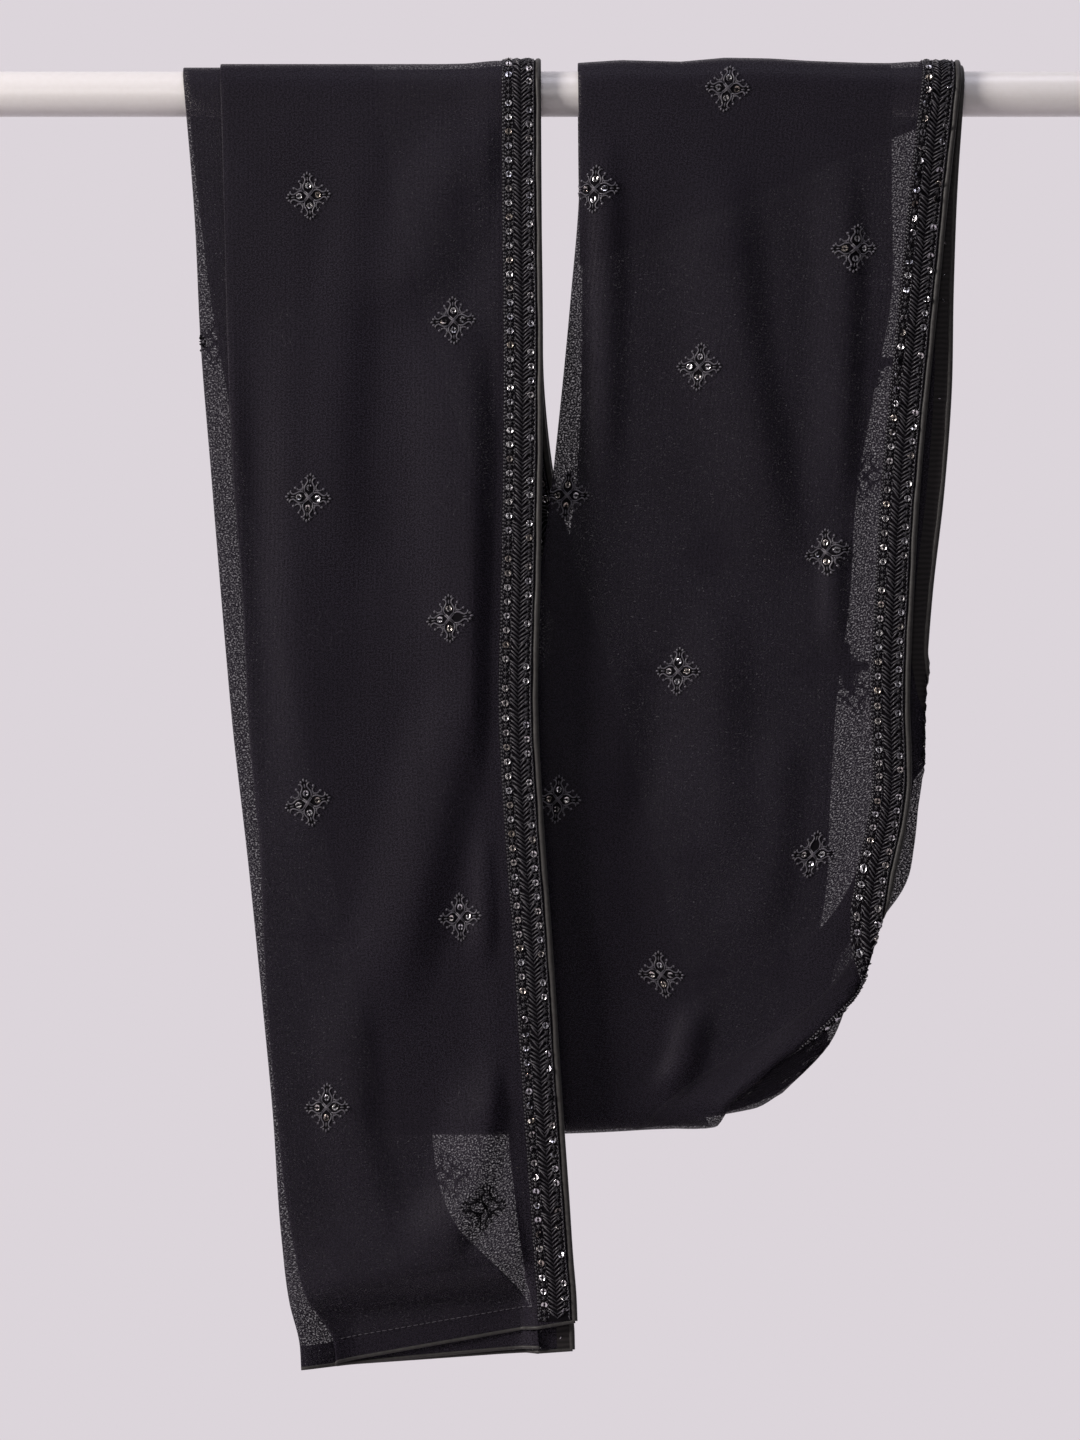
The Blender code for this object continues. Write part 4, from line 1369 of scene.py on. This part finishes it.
def build_stage():
    """A pale floor below, and a pale room all round."""
    angles = round_angles(FLOOR_SIDES)
    points = [(FLOOR_RADIUS * math.cos(a), FLOOR_RADIUS * math.sin(a), FLOOR_HEIGHT) for a in angles]
    faces = [(i, (i + 1) % FLOOR_SIDES, FLOOR_SIDES) for i in range(FLOOR_SIDES)]
    mesh = bpy.data.meshes.new("studio_floor")
    mesh.from_pydata(points + [(0, 0, FLOOR_HEIGHT)], [], faces)
    finish, _, shader = new_finish("matte_floor_paint")
    set_inputs(shader, Base_Color=linear("#cdc7cc"), Roughness=0.9, Specular_IOR_Level=0.1)
    mesh.materials.append(finish)
    floor = add_object("studio_floor", mesh)
    # The wall behind the rail is bright, and the room in front of it dimmer, so that folds and sequins model.
    world = bpy.data.worlds.new("pale_room")
    bpy.context.scene.world = world
    world.use_nodes = True
    tree = world.node_tree
    heading = add_node(tree, "ShaderNodeTexCoord").outputs["Generated"]
    backward = add_node(tree, "ShaderNodeSeparateXYZ", {"Vector": heading}).outputs["Y"]
    glow = add_node(
        tree,
        "ShaderNodeMapRange",
        {"Value": backward, "From Min": 0.0, "From Max": 0.7, "To Min": ROOM_DIMMED, "To Max": 1.0},
    )
    background = tree.nodes["Background"]
    background.inputs["Color"].default_value = linear("#dcd5db")
    tree.links.new(glow.outputs["Result"], background.inputs["Strength"])


def build_camera():
    camera = bpy.data.cameras.new("camera")
    made = add_object("camera", camera)
    camera.sensor_fit = "VERTICAL"
    camera.sensor_height = SENSOR_HEIGHT
    camera.lens = SENSOR_HEIGHT * CAMERA_AWAY / VIEW_HEIGHT
    made.location = (0.0, -CAMERA_AWAY, CAMERA_HEIGHT)
    made.rotation_euler = (math.radians(90), 0, 0)
    bpy.context.scene.camera = made
    bpy.context.scene.view_settings.view_transform = "Standard"


def enamel_rail(finish):
    """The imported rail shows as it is, so it takes its finish through its own material slots."""
    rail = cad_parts["rail"]
    if not rail.material_slots:
        rail.data.materials.append(finish)
    for slot in rail.material_slots:
        slot.link = "OBJECT"
        slot.material = finish


def main():
    georgette = black_crepe_georgette()
    # The motifs' thread, with grey painted glints in its colour
    thread = black_viscose_thread_painted_glint("black_viscose_thread_painted_glint", "#706d77")
    # The border's thread is the same thread with its painted glint darker: painted shade for close stitches shading
    # each other.
    braid = black_viscose_thread_painted_glint("black_viscose_braid_painted_shade", "#45434b")
    ground, film = border_ground(), sequin_film()
    satin, turning = satin_binding(), satin_turning()
    cloth = build_cloth(georgette)
    for side in ("outer", "inner"):
        border_strip(side, ground)
        border_embroidery(side, braid, film, ground)
        edge_binding(side, satin, turning)
    build_motifs(thread, film, ground)
    for build, finish in ((hem_edge, satin), (hem_turning, georgette), (topstitch, thread)):
        for name, part in (("front_fall", FALL), ("tail", HANGING_TAIL)):
            build(name, part, finish)
    enamel_rail(white_enamel())
    build_stage()
    for softbox in SOFTBOXES:
        area_light(*softbox)
    build_camera()


main()
